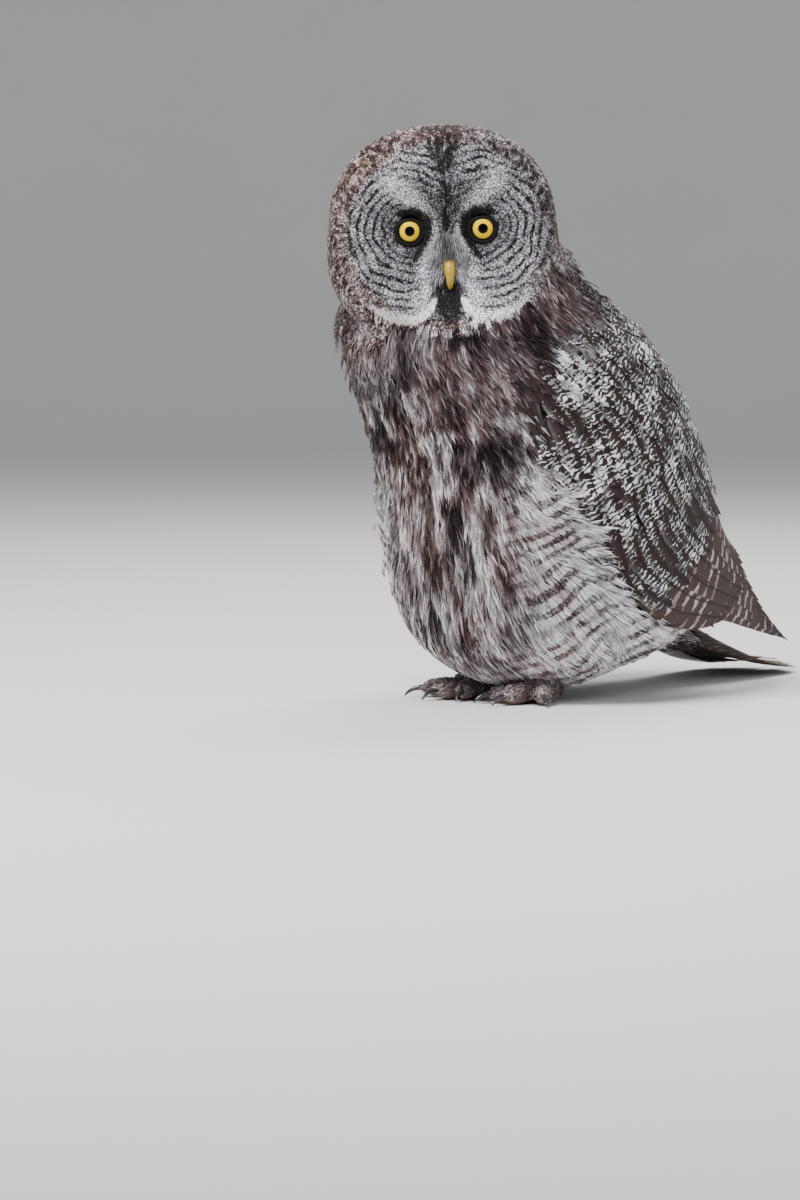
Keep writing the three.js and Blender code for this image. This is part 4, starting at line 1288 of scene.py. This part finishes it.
class OWL_OT_wings(bpy.types.Operator):
    """Makes both closed wings: an underlay, primaries, secondaries and the coverts over them"""

    bl_idname = "owl.wings"
    bl_label = "Wings"

    def execute(self, context):
        flight = tuple(context.scene.owl_colours.flight)
        flights = vane_material("flight_vanes", flight, PALE_FLIGHT, spacing=15.0, wander=1.6,
                                broken=1.4, edge_pale=0.1, centre=0.0)
        coverts = vane_material("wing_coverts", scaled(flight, 0.62), PALE_COVERTS, spacing=4.4,
                                wander=16.0, broken=2.2, edge_pale=0.3, centre=0.75)
        for name, side in SIDES:
            draw = np.random.default_rng(SEEDS[f"wing_{name}"])
            self.underlay(name, side, flights)
            self.primaries(name, side, flights, draw)
            self.secondaries(name, side, flights, draw)
            self.coverts(name, side, coverts, draw)
        return {"FINISHED"}

    def underlay(self, name, side, material):
        """The wing's flesh: a closed pad under its feathers."""
        rows, columns = 30, 16
        down = np.linspace(0, 1, rows)[:, None]
        round_ = np.linspace(0, 1, columns)[None]
        lengths = mix(*PAD_LENGTHS, down)
        lower = wing_front(lengths) + 7
        degrees = lower + (68 - lower) * round_
        edge = np.minimum(1, 4 * np.minimum(round_, 1 - round_) + 0.1)
        end = np.minimum(1, np.minimum(5 * down + 0.1, 5 * (1 - down) + 0.1))
        lift = -3.4 - 8.5 * (1 - edge * end)
        grids = []
        for shift in (0.0, -3.0):
            points = hull(share_at(lengths) + 0 * round_, degrees, lift + shift)[None]
            points[..., 0] *= side
            grids.append(points)
        across = np.broadcast_to(round_ * 2 - 1, (1, rows, columns))
        along = np.broadcast_to(down * 200, (1, rows, columns))
        pad = vanes_mesh(f"wing_pad_{name}", grids[0], grids[1], across, along, luck=np.array([0.3]),
                         dense=0.1, material=material)
        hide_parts(f"wing_{name}")

    def primaries(self, name, side, material, draw):
        share = np.arange(PRIMARIES) / (PRIMARIES - 1)
        end = mix(562, 452, share) + draw.normal(0, 3, PRIMARIES)
        lift = mix(-9.6, -4.6, share)
        hull_vanes(f"primaries_{name}", np.full(PRIMARIES, 205.0), end, turn=mix(-23, 4, share),
                   end_turn=mix(8, 36, share), width=mix(25, 29, share), lift_root=lift, lift_tip=lift,
                   tilt=0.0, shape=FLIGHT_SHAPE, grid=(26, 7), side=side, dense=FLIGHT_DENSE,
                   material=material, draw=draw)

    def secondaries(self, name, side, material, draw):
        share = np.arange(SECONDARIES) / (SECONDARIES - 1)
        start = mix(236, 224, share)
        end = start + mix(178, 210, share) + draw.normal(0, 3, SECONDARIES)
        hull_vanes(f"secondaries_{name}", start, end, turn=mix(-18, 80, share),
                   end_turn=mix(-10, 74, share), width=mix(34, 38, share), lift_root=-4.6, lift_tip=-0.4,
                   tilt=0.06, shape=FLIGHT_SHAPE, grid=(22, 7), side=side, dense=FLIGHT_DENSE,
                   material=material, draw=draw)

    def coverts(self, name, side, material, draw):
        large = wing_rows(draw, LARGE_COVERTS)
        small = []
        first, last, step = SMALL_COVERTS
        for length in np.arange(first, last, -step):
            high = (first - length) / (first - last)
            front = float(wing_front(length)) + 4
            across = hull(share_at(length), np.arange(front, WING_BACK, 4))
            around = float(np.linalg.norm(np.diff(across, axis=0), axis=1).sum())
            small.append((int(around / mix(18, 12, high)), (length, length - 4),
                          (mix(42, 28, high), mix(44, 34, high)), (front, WING_BACK),
                          (mix(23, 15, high), mix(26, 18, high)), 0))
        rows = wing_rows(draw, small)
        for title, made, grid, ragged in (("large", large, (10, 5), 0.05), ("small", rows, (8, 5), 0.08)):
            hull_vanes(f"coverts_{title}_{name}", **made, tilt=0.09, shape=COVERT_SHAPE, grid=grid,
                       side=side, dense=covert_density, material=material, draw=draw, ragged=ragged,
                       crown=0.09)


# The tail

TAIL_LINE = [(142, 82), (190, 58), (250, 33), (310, 14), (360, 5.4), (402, 1.2)]
TAIL_SWING = 7.0  # degrees towards the owl's right
TAIL_LOW = 0.25  # no vane of the tail goes below this
TAIL_PAIRS = 6
# Rows of tail coverts: name, how many, the row's width, lift at root and tip, and share of the tail
TAIL_COVERTS = (
    ("upper", 22, 62, 5.0, 13.5, 0.5),
    ("under", 22, 66, -6.0, -7.0, 0.5),
    ("vent", 18, 48, -11.0, -15.0, 0.36),
)


def tail_points(along, across, lift):
    """Points of the tail from shares along its line, millimetres across it and lifts above it."""
    line = smoothly_through(TAIL_LINE, 401)
    far = np.concatenate([[0], np.cumsum(np.linalg.norm(np.diff(line, axis=0), axis=1))])
    at = along * far[-1]
    y, z = np.interp(at, far, line[:, 0]), np.interp(at, far, line[:, 1])
    way = np.gradient(line, axis=0)
    way /= np.linalg.norm(way, axis=1)[:, None]
    wy, wz = np.interp(at, far, way[:, 0]), np.interp(at, far, way[:, 1])
    x, y, z = across, y - wz * lift, z + wy * lift
    turn = math.radians(TAIL_SWING)
    y0 = TAIL_LINE[0][0]
    return np.stack([x * math.cos(turn) - (y - y0) * math.sin(turn),
                     y0 + SHIFT_Y + x * math.sin(turn) + (y - y0) * math.cos(turn),
                     np.maximum(z, TAIL_LOW)], -1)


class OWL_OT_tail(bpy.types.Operator):
    """Makes the twelve tail feathers and the coverts over and under their roots"""

    bl_idname = "owl.tail"
    bl_label = "Tail"

    def execute(self, context):
        draw = np.random.default_rng(SEEDS["tail"])
        base = tuple(context.scene.owl_colours.tail)
        tails = vane_material("tail_vanes", base, PALE_TAIL, spacing=13.0, wander=4.0, broken=2.4,
                              edge_pale=0.12, centre=0.0)
        covert = vane_material("tail_coverts", scaled(base, 0.8), PALE_TAIL_COVERTS, spacing=8.0,
                               wander=5.0, broken=2.4, edge_pale=0.3, centre=0.5)
        pair = np.tile(np.arange(TAIL_PAIRS), 2)
        out = pair / (TAIL_PAIRS - 1)
        side = np.repeat([-1.0, 1.0], TAIL_PAIRS)
        level = np.where(pair > 1, TAIL_PAIRS - 1 - pair, 3 + 2 * (1 - pair) + np.where(side > 0, 1, 2))
        end = 1 - 0.085 * out**1.6 - 0.006 * draw.random(2 * TAIL_PAIRS)
        piece = self.vanes("tail_feathers", 0.03, end, root=side * mix(3, 24, out),
                           tip=side * mix(7, 41, out), width=mix(30, 25, out),
                           root_lift=0.4 + 0.55 * level, tip_lift=0.6 + 1.05 * level,
                           shape=FLIGHT_SHAPE, grid=(28, 7), dense=0.45, material=tails, draw=draw)
        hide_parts("tail")
        for title, count, wide, root_lift, tip_lift, reach in TAIL_COVERTS:
            share = draw.permutation((np.arange(count) + 0.5) / count) - 0.5
            start = draw.uniform(0.0, 0.2, count)
            end = reach - 0.1 * np.abs(share) - draw.uniform(0, 0.16, count)
            self.vanes(f"tail_coverts_{title}", start, end, root=wide * share * 0.85, tip=wide * share,
                       width=np.full(count, 23.0), root_lift=root_lift + draw.normal(0, 0.8, count),
                       tip_lift=tip_lift + draw.normal(0, 1.0, count), shape=COVERT_SHAPE, grid=(9, 5),
                       dense=0.55, material=covert, draw=draw)
        return {"FINISHED"}

    def vanes(self, name, start, end, root, tip, width, root_lift, tip_lift, shape, grid, dense, material,
              draw):
        """Vanes laid along the tail's line: shares of it where they start and end, and millimetres across
        it at root and tip."""
        count = len(width)
        v, u, half = vane_shape(shape, *grid, count, 0.02, draw)
        column = lambda values: np.broadcast_to(np.asarray(values, float), (count,))[:, None, None]
        along = mix(column(start), column(end), v)
        across = mix(column(root), column(tip), v) + column(width) / 2 * u * half
        lift = mix(column(root_lift), column(tip_lift), np.minimum(1, 1.6 * v)) + 0.8 * (1 - u**2)
        grids = [tail_points(along, across, lift + shift) for shift in (0.16, -0.16)]
        grids[0][..., 2] = np.maximum(grids[0][..., 2], grids[1][..., 2] + 0.2)
        return vanes_mesh(name, grids[0], grids[1], u * half, v * 290 * (column(end) - column(start)),
                          draw.random(count), dense, material)


# Eyes, bill, feet and claws


def subdivided_copy(node, name, levels, material):
    """A smooth copy of a node that takes its place."""
    shaped = merged_copy([node])
    mesh = bpy.data.meshes.new(name)
    shaped.to_mesh(mesh)
    shaped.free()
    mesh.materials.append(material)
    piece = linked(name, mesh)
    finer = piece.modifiers.new("round", "SUBSURF")
    finer.levels = levels
    finer.render_levels = levels
    bpy.context.view_layer.update()
    made = evaluated(piece)
    piece.modifiers.clear()
    piece.data = made
    made.polygons.foreach_set("use_smooth", np.ones(len(made.polygons), bool))
    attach(piece, "root")
    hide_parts(node)
    return piece


# The ring of the lids: half its thickness, and its radius
LID_THICK = 1.9
LID_RING = 10.9
LID_FRONT = 8.0  # in front of the eye's middle


class OWL_OT_eyes(bpy.types.Operator):
    """Makes the yellow eyes and their dark lids"""

    bl_idname = "owl.eyes"
    bl_label = "Eyes"

    def execute(self, context):
        n = Nodes("iris", 0.3, Coat_Weight=0.1, Coat_Roughness=0.02, Specular_IOR_Level=0.03)
        iris = tuple(context.scene.owl_colours.iris)
        out = n.math("DIVIDE", n.attribute("from_axis"), 10.0)
        uneven = n.math("MULTIPLY_ADD", n.object_noise(700.0, 4.0), 0.05, -0.025)
        out = n.math("ADD", out, uneven)
        colour = n.ramp(out, [
            (0.30, EYE_DARK), (0.385, EYE_DARK), (0.405, scaled(iris, 0.5)), (0.47, iris),
            (0.70, iris), (0.79, scaled(iris, 0.55)), (0.835, EYE_DARK),
        ])
        material = n.colour(colour)
        lids = Nodes("lids", 0.7, Specular_IOR_Level=0.1)
        dark = lids.blend(lids.object_noise(600.0), *LID_COLOURS)
        lids.bump(lids.object_noise(1500.0), 0.3, 0.0003)
        lid_material = lids.colour(dark)
        for name, side in SIDES:
            middle = LEFT_EYE if side > 0 else RIGHT_EYE
            self.ball(name, middle, material)
            self.lid(name, middle, lid_material)
        return {"FINISHED"}

    def place(self, shaped, middle, name, material, slot, node=None):
        """Makes a shape round an eye's own axis a piece, in the head's directions."""
        mesh = bpy.data.meshes.new(name)
        shaped.to_mesh(mesh)
        points = points_of(mesh)
        side, up, front = points[:, :1], points[:, 1:2], points[:, 2:]
        world = (middle + side * HEAD_SIDE + up * HEAD_UP + front * HEAD_FRONT) * MM
        mesh.vertices.foreach_set("co", world.astype(np.float32).ravel())
        behind = points[:, 2] < 0
        set_attribute(mesh, "from_axis", np.hypot(points[:, 0], points[:, 1]) + 20 * behind)
        mesh.polygons.foreach_set("use_smooth", np.ones(len(mesh.polygons), bool))
        mesh.materials.append(material)
        mesh.update()
        piece = linked(name, mesh)
        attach(piece, "root")
        if node:
            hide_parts(node)
        shaped.free()

    def ball(self, name, middle, material):
        shaped = bmesh.new()
        bmesh.ops.create_uvsphere(shaped, u_segments=64, v_segments=48, radius=EYE_RADIUS)
        self.place(shaped, middle, f"eyeball_{name}", material, "eye", f"eye_{name}")

    def lid(self, name, middle, material):
        """A soft dark ring round the eye, its section spun round the eye's axis and lowered above."""
        shaped = bmesh.new()
        bmesh.ops.create_circle(shaped, segments=14, radius=LID_THICK)
        for vertex in shaped.verts:
            vertex.co = (LID_RING + vertex.co.x * 1.3, 0.0, LID_FRONT + vertex.co.y)
        bmesh.ops.spin(shaped, geom=shaped.verts[:] + shaped.edges[:], cent=(0, 0, 0), axis=(0, 0, 1),
                       angle=2 * math.pi, steps=48, use_merge=True)
        for vertex in shaped.verts:
            above = max(0.0, vertex.co.y)
            vertex.co.y *= 0.79 if vertex.co.y > 0 else 0.97
            vertex.co.z += 0.09 * above
        bmesh.ops.recalc_face_normals(shaped, faces=shaped.faces)
        self.place(shaped, middle, f"lids_{name}", material, "face_plumage")


class OWL_OT_bill(bpy.types.Operator):
    """Smooths the bill and gives it its horn"""

    bl_idname = "owl.bill"
    bl_label = "Bill"

    def execute(self, context):
        horn = tuple(context.scene.owl_colours.bill)
        n = Nodes("bill_horn", 0.45, Coat_Weight=0.08, Coat_Roughness=0.3)
        streaks = n.object_noise(260.0, 3.0)
        n.bump(n.object_noise(900.0), 0.15, 0.0003)
        light = tuple(min(1, c) for c in scaled(horn, 1.2))
        material = n.colour(n.blend(streaks, scaled(horn, 0.55), light))
        subdivided_copy("bill_upper", "bill_top", 1, material)
        subdivided_copy("bill_lower", "bill_under", 2, material)
        return {"FINISHED"}


ANKLE_UP = 12
SOLE_UP = 3.2  # no toe feather starts below this


class OWL_OT_feet(bpy.types.Operator):
    """Makes the feathered toes and the black claws"""

    bl_idname = "owl.feet"
    bl_label = "Feet and claws"

    def execute(self, context):
        claw = tuple(context.scene.owl_colours.claw)
        n = Nodes("claw_horn", 0.22, Coat_Weight=0.4, Coat_Roughness=0.15)
        shine = n.object_noise(300.0, 3.0)
        n.bump(n.object_noise(700.0), 0.1, 0.0003)
        horn = n.colour(n.blend(shine, claw, scaled(claw, 3.2)))
        t = Nodes("toe_skin", 0.6)
        scales = t.object_noise(420.0, 3.0)
        t.bump(scales, 0.5, 0.0006)
        toes = t.colour(t.blend(scales, *TOE_COLOURS))
        for name, _ in SIDES:
            for toe in ("hind", "inner", "middle", "outer"):
                subdivided_copy(f"claw_{name}_{toe}", f"horn_{name}_{toe}", 2, horn)
            foot = subdivided_copy(f"foot_{name}", f"toes_{name}", 1, toes)
            self.coat(name, foot)
        return {"FINISHED"}

    def coat(self, name, foot):
        """Short dense feathers on the tops and sides of the toes."""
        draw = np.random.default_rng(SEEDS[f"foot_{name}"])
        mesh = foot.data
        points, normals = points_of(mesh) / MM, points_of(mesh, "normal")
        faces = np.array([tuple(p.vertices)[:3] for p in mesh.polygons])
        corners = points[faces]
        across = np.cross(corners[:, 1] - corners[:, 0], corners[:, 2] - corners[:, 0])
        area = np.linalg.norm(across, axis=1)
        count = TOE_LOCKS
        pick = draw.choice(len(faces), count, p=area / area.sum())
        weight = draw.dirichlet((1, 1, 1), count)
        place = (corners[pick] * weight[..., None]).sum(1)
        normal = unit((normals[faces[pick]] * weight[..., None]).sum(1))
        ankle = node_middle(f"leg_{name}")
        ankle[2] = ANKLE_UP
        away = unit((place - ankle) * [1, 1, 0.2])
        away = away - normal * (away * normal).sum(1, keepdims=True)
        way = unit(away + 0.2 * draw.standard_normal(place.shape))
        long = draw.uniform(4, 8, count)[:, None]
        keep = (place[:, 2] > SOLE_UP) & (normal[:, 2] > -0.35)
        tip = place + way * long + normal * 1.2
        tip[:, 2] = np.maximum(tip[:, 2] - 1.0, 0.5)
        middle = place + way * long * 0.5 + normal * 1.4
        middle[:, 2] = np.maximum(middle[:, 2], FLOOR_GAP)
        tone = 0.62 + 0.3 * (noise(place, 4, 51) - 0.5) + 0.1 * draw.standard_normal(count)
        marks = np.zeros((count, 3, 4))
        marks[..., 0] = np.clip(tone, 0.1, 1)[:, None] * [0.8, 1.0, 1.0]
        marks[..., 1] = 0.7
        flat = place[:, :2]
        locks = {
            "root": place - normal * 0.4, "mid": middle, "tip": tip, "normal": normal,
            "width": draw.uniform(0.8, 1.5, count), "marks": marks,
            "place": 0.02 + 0.96 * (flat - flat.min(0)) / np.ptp(flat, axis=0).max(),
        }
        locks = {key: values[keep] for key, values in locks.items()}
        locks_mesh(f"toe_coat_{name}", locks, plumage_material(f"toe_feathers_{name}"))


# Panel and registration

STEPS = (OWL_OT_stage, OWL_OT_skin, OWL_OT_face, OWL_OT_head_coat, OWL_OT_body_coat, OWL_OT_wings,
         OWL_OT_tail, OWL_OT_eyes, OWL_OT_bill, OWL_OT_feet)


class OWL_PT_panel(bpy.types.Panel):
    """Lists the owl's pieces and its settings"""

    bl_idname = "OWL_PT_panel"
    bl_label = "Great grey owl"
    bl_space_type = "VIEW_3D"
    bl_region_type = "UI"
    bl_category = "Owl"

    def draw(self, context):
        for group in (context.scene.owl_sizes, context.scene.owl_colours):
            for name in group.__annotations__:
                self.layout.prop(group, name)
        for step in STEPS:
            self.layout.operator(step.bl_idname)


CLASSES = (OwlSizes, OwlColours, *STEPS, OWL_PT_panel)


def register():
    for one in CLASSES:
        bpy.utils.register_class(one)
    bpy.types.Scene.owl_sizes = bpy.props.PointerProperty(type=OwlSizes)
    bpy.types.Scene.owl_colours = bpy.props.PointerProperty(type=OwlColours)


def unregister():
    del bpy.types.Scene.owl_colours
    del bpy.types.Scene.owl_sizes
    for one in reversed(CLASSES):
        bpy.utils.unregister_class(one)


def main():
    register()
    for step in STEPS:
        group, title = step.bl_idname.split(".")
        getattr(getattr(bpy.ops, group), title)()


if __name__ == "__main__":
    main()
